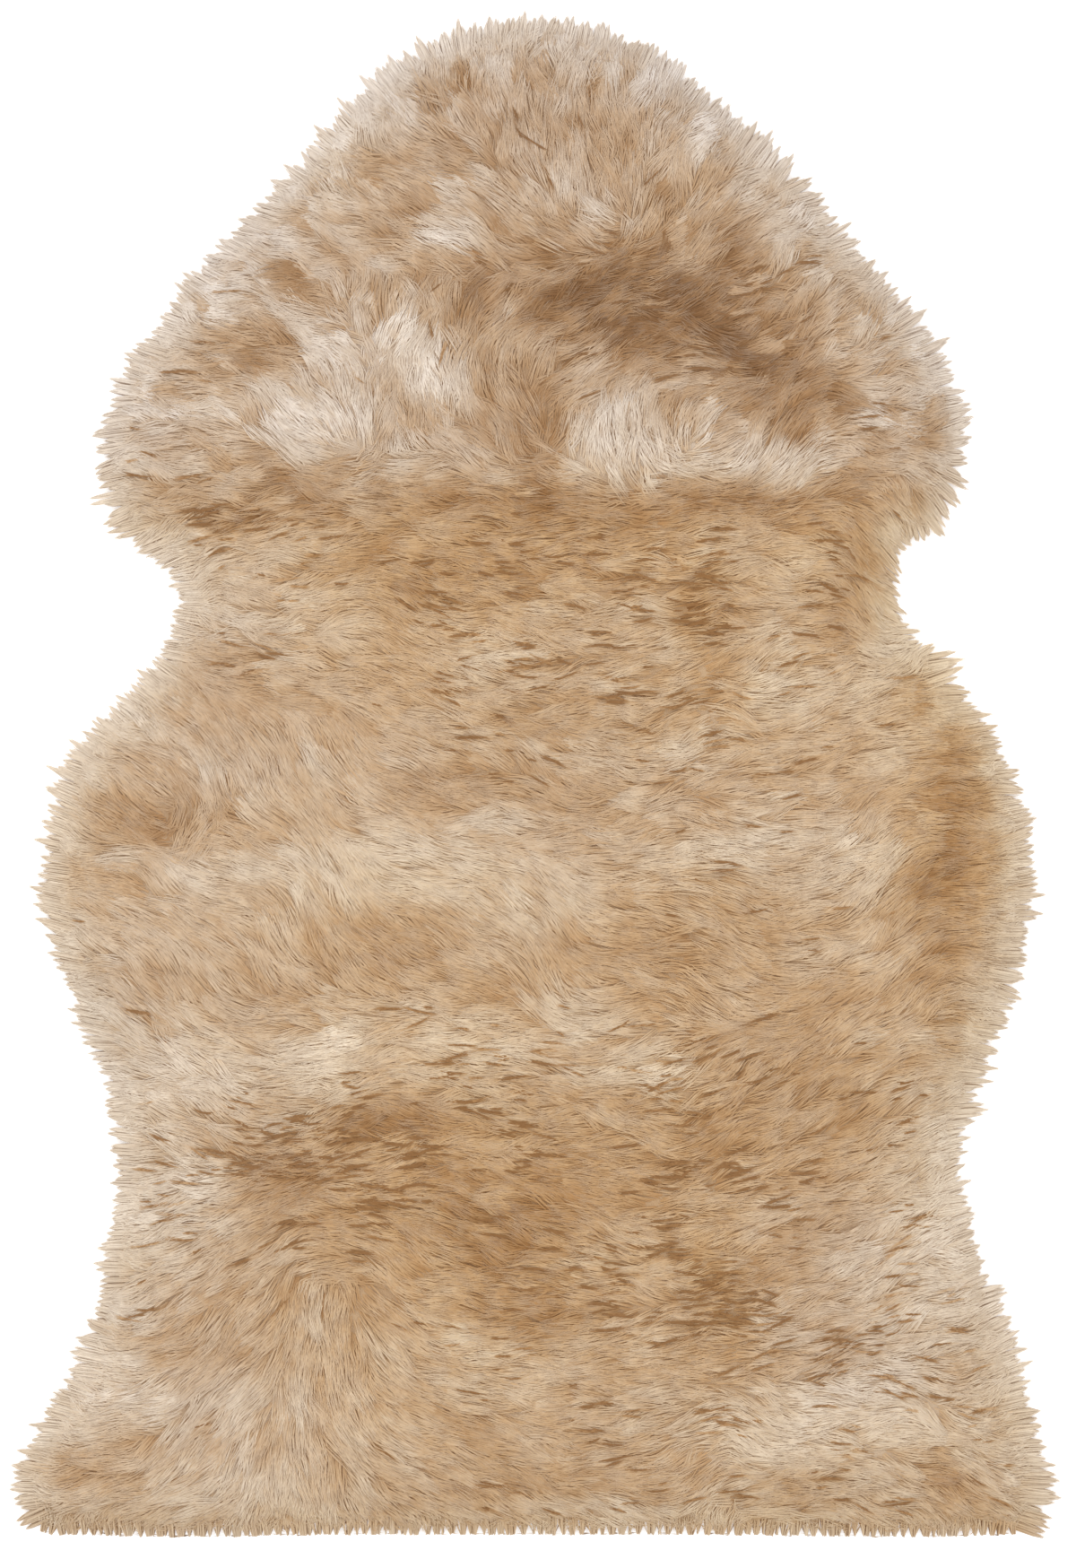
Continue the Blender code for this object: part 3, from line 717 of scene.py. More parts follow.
def field_strands(maps, locks, seed):
    """The strands of these locks: points, half widths and values."""
    chance = np.random.default_rng(seed)
    x, y = locks["x"], locks["y"]
    count = len(x)
    many = STRANDS_IN_LOCK
    parted = sample(maps["parted"], x, y)
    length = LOCK_LENGTH * chance.uniform(*LOCK_LENGTHS, count) * (1.08 - 0.26 * parted)
    length = kept_in(maps, locks, length)
    places, headings = comb_locks(maps, locks, length)
    parted = parted[:, None]
    spread = chance.uniform(-1.0, 1.0, (count, many))
    shift = 0.45 * LOCK_SPACING * chance.uniform(-1.0, 1.0, (count, many))
    reach = chance.uniform(*STRAND_REACHES, (count, many))
    radius = LOCK_RADIUS * chance.uniform(*LOCK_RADII, (count, 1))
    lift = lock_lift(maps, locks, parted, places[:, -1], chance)
    tip_lift = 0.25 * MM * chance.standard_normal((count, many))
    loose = 1.0 + 0.5 * chance.standard_normal((count, many)).clip(-1.0, 2.0)
    astray = STRAY * chance.standard_normal((count, many))
    inward = -np.stack([locks["side_x"], locks["side_y"]], axis=1) * locks["aside"][:, None]
    points = []
    for level, (share, smooth, gathered, parted_height, parted_gathered, _) in enumerate(LEVELS):
        below = smooth + (parted_height - smooth) * parted
        clump = gathered + (parted_gathered - gathered) * parted
        side = across_of(headings[:, level])
        from_root = places[:, level] - places[:, 0]
        from_root = from_root + share**1.3 * (0.30 + 0.25 * parted) * inward
        clumped = clump + (1.0 - clump) * 0.18 * loose
        flat = (
            places[:, None, 0]
            + from_root[:, None, :] * reach[:, :, None]
            + headings[:, None, 0] * shift[:, :, None]
            + side[:, None, :] * (spread * radius * clumped + share * astray)[:, :, None]
        )
        height = at_points(maps["surface"], flat) + below
        height += share**0.6 * lift + LOCK_DOME * (1.0 - spread**2) * min(1.0, 2.0 * share)
        height += share**2 * tip_lift
        points.append(np.dstack([flat, height.clip(LEAST_HEIGHT)]))
    points = np.stack(points, axis=2).reshape(count * many, len(LEVELS), 3)
    roll = (-0.40 * spread + 0.20 * chance.standard_normal((count, many))).ravel()
    width = STRAND_WIDTH * chance.uniform(*STRAND_WIDTHS, count * many)
    shade = field_shades(maps, locks, points, parted, spread, chance)
    sides = ribbon_sides(maps, points, width, roll, [row[-1] for row in LEVELS])
    return strand_lot(maps, points, sides, shade, [row[0] for row in LEVELS])


# Width, darkening and place along the hair at the two ends and in the middle of a slit's strand. The
# darkening is painted shade in the gap between locks, together with the darker roots that show there.
SLIT_TAPER = (0.3, 1.0, 0.0)
SLIT_DARKENING = (0.60, 1.15, 0.50)
SLIT_ALONG = (0.5, 0.5, 0.5)


def slit_strands(maps, slits, seed):
    """Short dark strands that fill every slit, pointed at both ends: painted shade in the gap between
    the locks, together with the darker roots that show in it.
    """
    chance = np.random.default_rng(seed)
    count = len(slits["x"])
    many = STRANDS_IN_SLIT
    slit = {name: values[:, None] for name, values in slits.items()}
    place = chance.uniform(-1.0, 1.0, (count, many))
    shift = 0.5 * slit["half_long"] * chance.uniform(-1.0, 1.0, (count, many))
    half = slit["half_long"] * chance.uniform(0.40, 0.85, (count, many)) * (1.0 - 0.3 * place**2)
    turn = slit["angle"] + 0.07 * chance.standard_normal((count, many))
    points = []
    for share in (-1.0, 0.0, 1.0):
        along = shift + share * half
        across = slit["half_wide"] * place * (1.0 - 0.5 * (along / slit["half_long"]) ** 2)
        across = across + slit["bend"] * along**2 / slit["half_long"]
        x = slit["x"] + along * np.cos(turn) - across * np.sin(slit["angle"])
        y = slit["y"] + along * np.sin(turn) + across * np.cos(slit["angle"])
        flat = np.dstack([x, y])
        over = at_points(maps["surface"], flat) + MM * at_points(maps["streaks"], flat)
        points.append(np.dstack([flat, over + SLIT_HEIGHT - 0.5 * MM * abs(share)]))
    points = np.stack(points, axis=2).reshape(count * many, 3, 3)
    width = STRAND_WIDTH * chance.uniform(0.8, 1.4, count * many)
    sides = ribbon_sides(maps, points, width, 0.0 * width, SLIT_TAPER)
    # painted shade in the slit, with the darker roots seen there
    dark = (slit["strength"] * chance.uniform(0.6, 1.3, (count, many))).ravel()
    shade = at_points(maps["shade"], points) - dark[:, None] * np.array(SLIT_DARKENING)
    return strand_lot(maps, points, sides, shade, SLIT_ALONG)


def strand_lot(maps, points, sides, shade, along):
    """A lot of strands, as strand_mesh takes them."""
    halves, normals = sides
    return {
        "points": points,
        "halves": halves,
        "normals": normals,
        "shade": shade.clip(*SHADES),
        "warmth": at_points(maps["warmth"], points),
        "along": np.tile(along, (len(points), 1)),
    }


def at_points(grid, points, step=GRID_STEP):
    """A map's values at every point of every strand."""
    values = sample(grid, points[..., 0].ravel(), points[..., 1].ravel(), step)
    return values.reshape(points.shape[:2])


def strand_shades(maps, points, drift):
    """The fleece's shade at every point of every strand, read a little off its place, less the painted
    shadows and plus the painted highlights round the slits.
    """
    places = points[..., :2] + drift[:, None, :]
    shade = at_points(maps["shade"], places) + 0.03 * at_points(maps["streaks"], places)
    return shade - at_points(maps["fringes"], 0.5 * (places + points[..., :2]), FINE_STEP)


def ribbon_sides(maps, points, width, roll, taper):
    """Half of every strand's width at each of its points, as a vector across it, and the way
    that the strand faces there: mostly as the fleece does, and a little its own."""
    along = unit(np.gradient(points, axis=1), 1e-12)
    side = unit(np.stack([-along[..., 1], along[..., 0], 0.0 * along[..., 0]], axis=2), 1e-9)
    over = np.cross(along, side)
    cos, sin = np.cos(roll)[:, None, None], np.sin(roll)[:, None, None]
    halves = (side * cos + over * sin) * (0.5 * width)[:, None, None]
    slopes = [-at_points(maps[name], points) for name in ("rise_x", "rise_y")]
    fleece = unit(np.stack([*slopes, np.ones(points.shape[:2])], axis=2))
    normals = FLEECE_FACING * fleece + (1.0 - FLEECE_FACING) * (over * cos - side * sin)
    return halves * np.array(taper)[None, :, None], unit(normals)


# Locks round the rim


TIP_CEILING = 0.2 * MM  # the CAD's locks end on the floor
CORNER = 16.0 * MM  # the hind edge's locks start this far from its corners
HIND_STRIP = 7.0 * MM  # and their tips lie this near to it


def rim_locks(maps):
    """Tip and root of every lock that the CAD draws round the rim."""
    tips = []
    mesh = merged_copy("fleece")
    for vert in mesh.verts:
        near = [edge.other_vert(vert) for edge in vert.link_edges]
        here = sample(maps["depth"], np.array([vert.co.x]), np.array([vert.co.y]))[0]
        if vert.co.z > TIP_CEILING or here > -1.0 * MM:
            continue
        theirs = np.array([v.co[:2] for v in near])
        if here < sample(maps["depth"], theirs[:, 0], theirs[:, 1]).min() - 1.0 * MM:
            tips.append((*vert.co[:2], *theirs.mean(axis=0)))
    mesh.free()
    tips = np.array(sorted(tips))
    tip = tips[:, :2]
    return tip, 2.0 * tips[:, 2:] - tip


def on_hind_edge(tip):
    """1 for the short locks of the straight hind edge, 0 for the others."""
    left, right = FLEECE_LOW.x + CORNER, FLEECE_HIGH.x - CORNER
    between_corners = (tip[:, 0] > left) & (tip[:, 0] < right)
    return ((tip[:, 1] < FLEECE_LOW.y + HIND_STRIP) & between_corners).astype(float)


LOOK_BACK = 22.0 * MM  # a rim lock leans with the hair this far behind it
FARTHEST_LEAN = 0.8
POINTS_ACROSS = (-0.62, 0.0, 0.62)  # where a lock's three points stand across it
RIM_TAPER = (1.0, 1.0, 0.8, 0.0)  # width from root to tip


def rim_directions(maps, tip, root, back):
    """The way out of every lock, leant with the hair behind it, the way across, and its reach."""
    out = tip - root
    reach = np.linalg.norm(out, axis=1)
    out /= reach[:, None]
    longer = 2.0 + sample(patched(FULLER), tip[:, 0], tip[:, 1])
    reach = reach + MM * longer * (1.0 - back[:, 0])
    side = across_of(out)
    combed = np.stack(line_of(maps, *(root - LOOK_BACK * out).T), axis=1)
    lean = (combed * side).sum(axis=1) * np.sign((combed * out).sum(axis=1))
    lean = 0.75 * lean.clip(-FARTHEST_LEAN, FARTHEST_LEAN) * (1.0 - back[:, 0])
    out = out + side * lean[:, None]
    return unit(out), side, reach


def rim_aims(spread, back, chance):
    """How far out and where across its lock every strand ends, in one of the lock's points."""
    count, many = spread.shape
    lock = np.arange(count)[:, None]
    point = np.round(1.3 * spread).astype(int) + 1
    reach = chance.uniform(0.70, 1.12, (count, 3))
    reach[:, 1] = chance.uniform(0.96, 1.30, count)
    place = chance.normal(0.0, 0.16, (count, 3)) + np.array(POINTS_ACROSS)
    share = reach[lock, point] * chance.uniform(0.80, 1.06, (count, many))
    return share, place[lock, point] * (1.0 - 0.25 * back)


def rim_strands(maps, seed):
    """Strands that fall over the foot of the wool and gather in the rim's pointed locks."""
    chance = np.random.default_rng(seed)
    tip, root = rim_locks(maps)
    count = len(tip)
    many = RIM_STRANDS
    back = on_hind_edge(tip)[:, None]
    out, side, reach = rim_directions(maps, tip, root, back)
    layer = chance.uniform(0.0, 1.0, (count, many)) ** (0.5 + 0.4 * back)
    spread = chance.uniform(-1.0, 1.0, (count, many))
    longer, aim = rim_aims(spread, back, chance)
    stray = 0.35 * MM * chance.standard_normal((count, many)) * (1.0 - 0.6 * back)
    inner = (24.0 * MM * layer + 4.0 * MM) * (1.0 - 0.4 * back)
    full = reach[:, None] * (longer + (1.0 - longer) * 0.85 * back)
    stations = (
        # from the foot, share of the height, gathering, along
        (-inner, 0.86, 1.15, 0.0),
        (-0.22 * inner, 0.98, 1.05, 0.35),
        ((0.62 + 0.30 * back) * full, 0.86, 0.70, 0.8),
        (full, 0.62 - 0.27 * back, 0.12, 1.0),
    )
    points = []
    for place, height_share, clump, _ in stations:
        gathered = spread * clump + aim * (1.0 - clump)
        across = gathered + (spread - gathered) * 0.45 * back
        flat = root[:, None] + out[:, None] * place[:, :, None]
        flat = flat + side[:, None] * (RIM_LOCK_RADIUS * across + stray)[:, :, None]
        height = at_points(maps["surface"], flat) * height_share * (0.12 + 0.88 * layer)
        points.append(np.dstack([flat, (height + 0.6 * MM).clip(0.5 * MM)]))
    points = np.stack(points, axis=2).reshape(count * many, len(stations), 3)
    clear_of_notches(points, hind_notches(maps, SEEDS["notches"]))
    width = STRAND_WIDTH * chance.uniform(0.8, 1.3, count * many)
    roll = (-0.3 * spread + 0.4 * chance.standard_normal((count, many))).ravel()
    sides = ribbon_sides(maps, points, width, roll, RIM_TAPER)
    own = np.repeat(0.05 * back[:, 0] + 0.04 * chance.standard_normal(count), many)
    own += 0.02 * chance.standard_normal(count * many)
    shade = strand_shades(maps, points, np.zeros((count * many, 2))) + own[:, None]
    shade[:, 0] = shade[:, 1]
    return strand_lot(maps, points, sides, shade, [row[3] for row in stations])


def hind_notches(maps, seed):
    """The narrow notches between the trimmed locks of the hind edge, as columns."""
    chance = np.random.default_rng(seed)
    tip = rim_locks(maps)[0]
    tip = tip[on_hind_edge(tip) > 0.5]
    x = np.arange(tip[:, 0].min(), tip[:, 0].max(), NOTCH_SPACING)
    x = x + 0.32 * NOTCH_SPACING * chance.uniform(-1.0, 1.0, len(x))
    return {
        "x": x,
        "edge": np.interp(x, tip[:, 0], tip[:, 1]),
        "length": MM * chance.uniform(9.0, 18.0, len(x)),
        "half_wide": MM * chance.uniform(1.0, 2.7, len(x)),
        "lean": chance.normal(0.08, 0.22, len(x)),
    }


def clear_of_notches(points, notches):
    """Moves the strands of the hind edge sideways out of its notches."""
    x, y = points[..., 0], points[..., 1]
    between = 0.5 * (notches["x"][1:] + notches["x"][:-1])
    near = np.searchsorted(between, x)
    from_edge = y - notches["edge"][near]
    inward = from_edge / notches["length"][near]
    opening = notches["half_wide"][near] * (1.0 - inward.clip(0.0, 1.0))
    centre = notches["x"][near] + notches["lean"][near] * from_edge.clip(0.0)
    off = x - centre
    moved = centre + np.where(off < 0.0, -1.0, 1.0) * opening
    points[..., 0] = np.where(np.abs(off) < opening, moved, x)


def joined(strands, others):
    """Two lots of strands with the same stations as one."""
    return {name: np.concatenate([strands[name], others[name]]) for name in strands}


# Meshes


def twice_but_tip(values):
    """Values of the stations as values of a ribbon's corners: two at each, and one at the tip."""
    return np.concatenate([np.repeat(values[:, :-1], 2, axis=1), values[:, -1:]], axis=1)


def faces_mesh(name, corners, loops, sizes):
    """A mesh of these corners, with smooth faces of these sizes."""
    mesh = bpy.data.meshes.new(name)
    mesh.vertices.add(corners.size // 3)
    mesh.vertices.foreach_set("co", corners.astype(np.float32).ravel())
    mesh.loops.add(len(loops))
    mesh.loops.foreach_set("vertex_index", loops.astype(np.int32))
    mesh.polygons.add(len(sizes))
    starts = np.concatenate([[0], np.cumsum(sizes)[:-1]])
    mesh.polygons.foreach_set("loop_start", starts.astype(np.int32))
    mesh.polygons.foreach_set("use_smooth", np.ones(len(sizes), bool))
    mesh.update(calc_edges=True)
    return mesh


def strand_mesh(name, strands, seed):
    """All the strands as one mesh of narrow ribbons that end in a point."""
    points, halves = strands["points"], strands["halves"]
    count, levels = points.shape[:2]
    pairs = np.stack([points - halves, points + halves], axis=2)[:, :-1]
    corners = np.concatenate([pairs.reshape(count, -1, 3), points[:, -1:]], axis=1)
    per = corners.shape[1]
    quads = [(2 * k + 1, 2 * k, 2 * k + 2, 2 * k + 3) for k in range(levels - 2)]
    tip = (per - 2, per - 3, per - 1)
    pattern = np.array([corner for quad in quads for corner in quad] + list(tip))
    loops = (pattern[None, :] + per * np.arange(count)[:, None]).ravel()
    mesh = faces_mesh(name, corners, loops, np.tile([4] * len(quads) + [3], count))
    facing = twice_but_tip(strands["normals"]).reshape(-1, 3)
    mesh.normals_split_custom_set_from_vertices(facing.tolist())
    across = np.array([0.0, 1.0] * (levels - 1) + [0.5])
    onward = np.array([k // 2 for k in range(per)]) / (levels - 1)
    for value in ("shade", "warmth", "along"):
        give(mesh, value, twice_but_tip(strands[value]).ravel())
    give(mesh, "chance", np.repeat(np.random.default_rng(seed).uniform(0.0, 1.0, count), per))
    give(mesh, "across", np.tile(across, count))
    lay_out(mesh, count, pattern, across, onward)
    return mesh


def give(mesh, name, values):
    """Stores a value at every corner, for the finishes to read."""
    made = mesh.attributes.new(name, "FLOAT", "POINT")
    made.data.foreach_set("value", values.astype(np.float32))


def lay_out(mesh, count, pattern, across, along):
    """A small cell of the texture for every strand."""
    columns = math.ceil(math.sqrt(3.0 * count))
    rows = math.ceil(count / columns)
    cell = np.arange(count)
    u = (cell % columns)[:, None] + 0.15 + 0.7 * across[pattern][None, :]
    v = (cell // columns)[:, None] + 0.08 + 0.84 * along[pattern][None, :]
    uv = np.stack([u / columns, v / rows], axis=2)
    layer = mesh.uv_layers.new(name="OFBake")
    layer.data.foreach_set("uv", uv.astype(np.float32).ravel())


def piece(name, mesh, finish):
    """An object of this mesh and finish, riding the part's root."""
    obj = bpy.data.objects.new(name, mesh)
    bpy.context.scene.collection.objects.link(obj)
    mesh.materials.append(finish)
    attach(obj, "root")
    return obj


def flat_sheet(loop, z):
    """A bmesh with one face of this outline, looking down."""
    mesh = bmesh.new()
    face = mesh.faces.new([mesh.verts.new((x, y, z)) for x, y in loop[::-1]])
    face.normal_update()
    return mesh, face


def raised(mesh, face, height):
    """Makes the face into a plate and returns its upper face."""
    made = bmesh.ops.extrude_face_region(mesh, geom=[face], use_keep_orig=True)["geom"]
    verts = [item for item in made if isinstance(item, bmesh.types.BMVert)]
    bmesh.ops.translate(mesh, verts=verts, vec=(0.0, 0.0, height))
    bmesh.ops.recalc_face_normals(mesh, faces=mesh.faces)
    return next(item for item in made if isinstance(item, bmesh.types.BMFace))


def divided(mesh, faces, cell):
    """Cuts flat faces into cells along lines square to X and to Y."""
    for across in (Vector((1.0, 0.0, 0.0)), Vector((0.0, 1.0, 0.0))):
        reach = [vert.co.dot(across) for face in faces for vert in face.verts]
        for place in np.arange(min(reach) + 0.5 * cell, max(reach), cell):
            edges = {edge for face in faces for edge in face.edges}
            verts = {vert for face in faces for vert in face.verts}
            cut = bmesh.ops.bisect_plane(
                mesh,
                geom=[*faces, *edges, *verts],
                dist=0.05 * cell,
                plane_co=place * across,
                plane_no=across,
            )
            faces = [item for item in cut["geom"] if isinstance(item, bmesh.types.BMFace)]
    return faces


def finished_mesh(name, mesh):
    """The bmesh as mesh data, with its faces looking outwards."""
    bmesh.ops.recalc_face_normals(mesh, faces=mesh.faces)
    data = bpy.data.meshes.new(name)
    mesh.to_mesh(data)
    mesh.free()
    return data


def is_level(edge):
    """Whether an edge runs along the sheet rather than up its side."""
    return abs(edge.verts[0].co.z - edge.verts[1].co.z) < 1e-6


def make_skin(loop, finish):
    """The tanned skin: a flat sheet with softly rounded cut edges."""
    mesh, under = flat_sheet(loop, 0.0)
    raised(mesh, under, SKIN_THICKNESS)
    rim = [edge for edge in mesh.edges if edge.calc_face_angle(0.0) > 1.2 and is_level(edge)]
    bmesh.ops.bevel(
        mesh, geom=rim, offset=SKIN_ROUNDING, offset_type="OFFSET", segments=2,
        profile=0.5, affect="EDGES", material=-1,
    )
    flats = [face for face in mesh.faces if abs(face.normal.z) > 0.99 and len(face.verts) > 8]
    divided(mesh, flats, SKIN_CELL)
    return piece("tanned_skin", finished_mesh("tanned_skin", mesh), finish)


def make_bed(loop, maps, finish):
    """The matted wool that the locks stand in."""
    onward = unit(np.roll(loop, -1, axis=0) - np.roll(loop, 1, axis=0))
    at_hind = loop[:, 1] < FLEECE_LOW.y + 20.0 * MM
    reach = np.where(at_hind, 0.3, 1.0)[:, None] * BED_REACH
    outside = loop - reach * across_of(onward)
    mesh, under = flat_sheet(outside, SKIN_THICKNESS + 0.4 * MM)
    top = raised(mesh, under, 2.0 * MM)
    cells = divided(mesh, [top], BED_CELL)
    for vert in {vert for face in cells for vert in face.verts}:
        place = np.array([vert.co.x]), np.array([vert.co.y])
        lump = 0.8 * MM * noise.noise(vert.co * 140.0)
        height = sample(maps["surface"], *place)[0] - BED_DEPTH + lump
        vert.co.z = max(height, SKIN_THICKNESS + 2.4 * MM)
    data = finished_mesh("wool_bed", mesh)
    data.polygons.foreach_set("use_smooth", np.ones(len(data.polygons), bool))
    count = len(data.vertices)
    x, y = np.array([vert.co[:2] for vert in data.vertices]).T
    # a little darker than the fleece over it: painted shade of the deep wool, with its darker roots
    give(data, "shade", 0.85 * sample(maps["shade"], x, y))
    give(data, "warmth", 0.8 * sample(maps["warmth"], x, y))
    give(data, "chance", np.full(count, 0.5))
    give(data, "along", np.full(count, 0.6))
    return piece("wool_bed", data, finish)


# Finishes


def node(tree, kind, **settings):
    """A new node with these settings."""
    made = tree.nodes.new(kind)
    for name, value in settings.items():
        setattr(made, name, value)
    return made


def math_node(tree, operation, first, second):
    """A sum of two values, where each is a socket or a constant."""
    made = node(tree, "ShaderNodeMath", operation=operation)
    for socket, value in zip(made.inputs, (first, second)):
        if isinstance(value, (int, float)):
            socket.default_value = value
        else:
            tree.links.new(value, socket)
    return made.outputs[0]


def mixed(tree, blend, share, first, second):
    """A colour mix, where each of the values is a socket or a constant."""
    made = node(tree, "ShaderNodeMix", data_type="RGBA", blend_type=blend)
    for index, value in ((0, share), (6, first), (7, second)):
        if isinstance(value, bpy.types.NodeSocket):
            tree.links.new(value, made.inputs[index])
        else:
            made.inputs[index].default_value = value
    return made.outputs[2]


def ramp(tree, value, stops):
    """A colour ramp through (place, colour) stops."""
    made = node(tree, "ShaderNodeValToRGB")
    band = made.color_ramp
    while len(band.elements) < len(stops):
        band.elements.new(0.5)
    for element, (place, colour) in zip(band.elements, stops):
        element.position = place
        element.color = (*colour, 1.0)
    tree.links.new(value, made.inputs[0])
    return made.outputs[0]


def ranged(tree, value, low, high, to_low, to_high):
    """The value's place between low and high, as a smooth place between two others."""
    made = node(tree, "ShaderNodeMapRange", interpolation_type="SMOOTHSTEP")
    for socket, number in zip(made.inputs[1:5], (low, high, to_low, to_high)):
        socket.default_value = number
    tree.links.new(value, made.inputs[0])
    return made.outputs[0]


def noise_at(tree, coordinates, scale, detail=3.0, roughness=0.55):
    """Noise of this scale at these coordinates."""
    made = node(tree, "ShaderNodeTexNoise")
    made.inputs["Scale"].default_value = scale
    made.inputs["Detail"].default_value = detail
    made.inputs["Roughness"].default_value = roughness
    tree.links.new(coordinates, made.inputs["Vector"])
    return made.outputs["Fac"]


def grey_of(tree, value):
    """A colour with this value in all three of its channels."""
    made = node(tree, "ShaderNodeCombineColor")
    for socket in made.inputs:
        tree.links.new(value, socket)
    return made.outputs[0]


def bumped(tree, shader, height, strength, distance):
    """Gives the shader's surface bumps of this height."""
    bump = node(tree, "ShaderNodeBump")
    bump.inputs["Strength"].default_value = strength
    bump.inputs["Distance"].default_value = distance
    tree.links.new(height, bump.inputs["Height"])
    tree.links.new(bump.outputs[0], shader.inputs["Normal"])


def new_finish(name, settings):
    """A material, its node tree and its shader, with these settings on the shader's sockets."""
    made = bpy.data.materials.new(name)
    made.use_nodes = True
    shader = made.node_tree.nodes["Principled BSDF"]
    for socket, value in settings.items():
        shader.inputs[socket].default_value = value
    return made, made.node_tree, shader


WOOL_GLOW = (0.060, 0.027, 0.010)  # painted glow: the wool gives off this light, standing in for light that scatters inside it and warms its gaps
WOOL_TONES = (
    (0.00, (0.143, 0.078, 0.037)),
    (0.20, (0.271, 0.167, 0.087)),
    (0.40, (0.387, 0.281, 0.182)),
    (0.60, (0.483, 0.415, 0.333)),
    (0.80, (0.590, 0.540, 0.473)),
    (1.00, (0.900, 0.890, 0.870)),
)


def wool_tone():
    """A node group: the wool's colour from its shade, warmth, place along the hair and chance."""
    group = bpy.data.node_groups.new("wool_tone", "ShaderNodeTree")
    for name in ("Shade", "Warmth", "Along", "Chance"):
        group.interface.new_socket(name, in_out="INPUT", socket_type="NodeSocketFloat")
    group.interface.new_socket("Colour", in_out="OUTPUT", socket_type="NodeSocketColor")
    inputs = node(group, "NodeGroupInput").outputs
    outputs = node(group, "NodeGroupOutput").inputs
    colour = ramp(group, math_node(group, "MULTIPLY", inputs["Shade"], 0.8), WOOL_TONES)
    grey = mixed(group, "MULTIPLY", 1.0, colour, (0.97, 1.005, 1.09, 1.0))
    honey = mixed(group, "MULTIPLY", 1.0, colour, (1.05, 0.98, 0.82, 1.0))
    colour = mixed(group, "MIX", inputs["Warmth"], grey, honey)
    # darker towards the root: partly the wool's own darker roots, partly painted shade deep in the pile
    depth = ranged(group, inputs["Along"], 0.0, 0.7, 0.0, 1.0)
    dark = mixed(group, "MULTIPLY", 1.0, colour, (0.91, 0.82, 0.71, 1.0))
    colour = mixed(group, "MIX", depth, dark, colour)
    tip = ranged(group, inputs["Along"], 0.5, 1.0, 0.0, 0.22)
    colour = mixed(group, "MIX", tip, colour, (0.68, 0.60, 0.50, 1.0))
    bright = ranged(group, inputs["Chance"], 0.0, 1.0, 0.97, 1.03)
    colour = mixed(group, "MULTIPLY", 1.0, colour, grey_of(group, bright))
    group.links.new(colour, outputs["Colour"])
    return group


WOOL_SHADER = {
    "Emission Color": (*WOOL_GLOW, 1.0),
    "Emission Strength": 1.0,
    "Sheen Weight": 0.08,
    "Sheen Roughness": 0.6,
    "Sheen Tint": (0.9, 0.68, 0.46, 1.0),
    "Specular IOR Level": 0.02,
}


def wool_finish(name, group, roughness):
    """Wool in the tones of its strands, faintly mottled."""
    made, tree, shader = new_finish(name, WOOL_SHADER)
    tone = node(tree, "ShaderNodeGroup", node_tree=group)
    for attribute in ("Shade", "Warmth", "Along", "Chance"):
        source = node(tree, "ShaderNodeAttribute", attribute_name=attribute.lower())
        tree.links.new(source.outputs["Fac"], tone.inputs[attribute])
    mottle = noise_at(tree, node(tree, "ShaderNodeTexCoord").outputs["Object"], 260.0)
    spotted = grey_of(tree, ranged(tree, mottle, 0.3, 0.7, 0.96, 1.04))
    colour = mixed(tree, "MULTIPLY", 1.0, tone.outputs["Colour"], spotted)
    tree.links.new(colour, shader.inputs["Base Color"])
    rough = ranged(tree, mottle, 0.2, 0.8, roughness - 0.07, roughness + 0.07)
    tree.links.new(rough, shader.inputs["Roughness"])
    return made, tree, shader


def strand_finish(name, group):
    """Combed wool: each ribbon is rounded across and shows its few fibres."""
    made, tree, shader = wool_finish(name, group, 0.68)
    across = node(tree, "ShaderNodeAttribute", attribute_name="across").outputs["Fac"]
    turn = math_node(tree, "MULTIPLY", across, 3.0 * math.pi)
    fibres = math_node(tree, "ABSOLUTE", math_node(tree, "SINE", turn, 0.0), 0.0)
    bumped(tree, shader, fibres, 0.2, 0.1 * MM)
    return made


def matted_finish(group):
    """The felted bed: short tangled fibres, seen only between the locks."""
    made, tree, shader = wool_finish("matted_wool", group, 0.85)
    place = node(tree, "ShaderNodeTexCoord").outputs["Object"]
    tangle = noise_at(tree, place, 900.0, detail=6.0, roughness=0.7)
    bumped(tree, shader, tangle, 0.8, 1.2 * MM)
    return made


def leather_finish():
    """Sueded skin side: cream, with faint darker blotches, veins and a fine nap."""
    made, tree, shader = new_finish("tanned_skin", {"Sheen Weight": 0.2})
    place = node(tree, "ShaderNodeTexCoord").outputs["Object"]
    blotch = noise_at(tree, place, 9.0, detail=4.0)
    colour = ramp(tree, blotch, (
        (0.30, (0.60, 0.47, 0.33)), (0.48, (0.74, 0.62, 0.46)), (0.72, (0.82, 0.73, 0.58)),
    ))
    veins = node(tree, "ShaderNodeTexVoronoi", feature="DISTANCE_TO_EDGE")
    veins.inputs["Scale"].default_value = 38.0
    tree.links.new(place, veins.inputs["Vector"])
    vein = ranged(tree, veins.outputs["Distance"], 0.0, 0.08, 0.35, 0.0)
    colour = mixed(tree, "MIX", vein, colour, (0.58, 0.44, 0.31, 1.0))
    nap = noise_at(tree, place, 750.0, detail=5.0, roughness=0.7)
    shaded = ranged(tree, nap, 0.3, 0.7, 0.0, 0.22)
    colour = mixed(tree, "MIX", shaded, colour, (0.88, 0.80, 0.67, 1.0))
    tree.links.new(colour, shader.inputs["Base Color"])
    tree.links.new(ranged(tree, nap, 0.2, 0.8, 0.78, 0.96), shader.inputs["Roughness"])
    bumped(tree, shader, nap, 0.5, 0.4 * MM)
    return made


# The studio


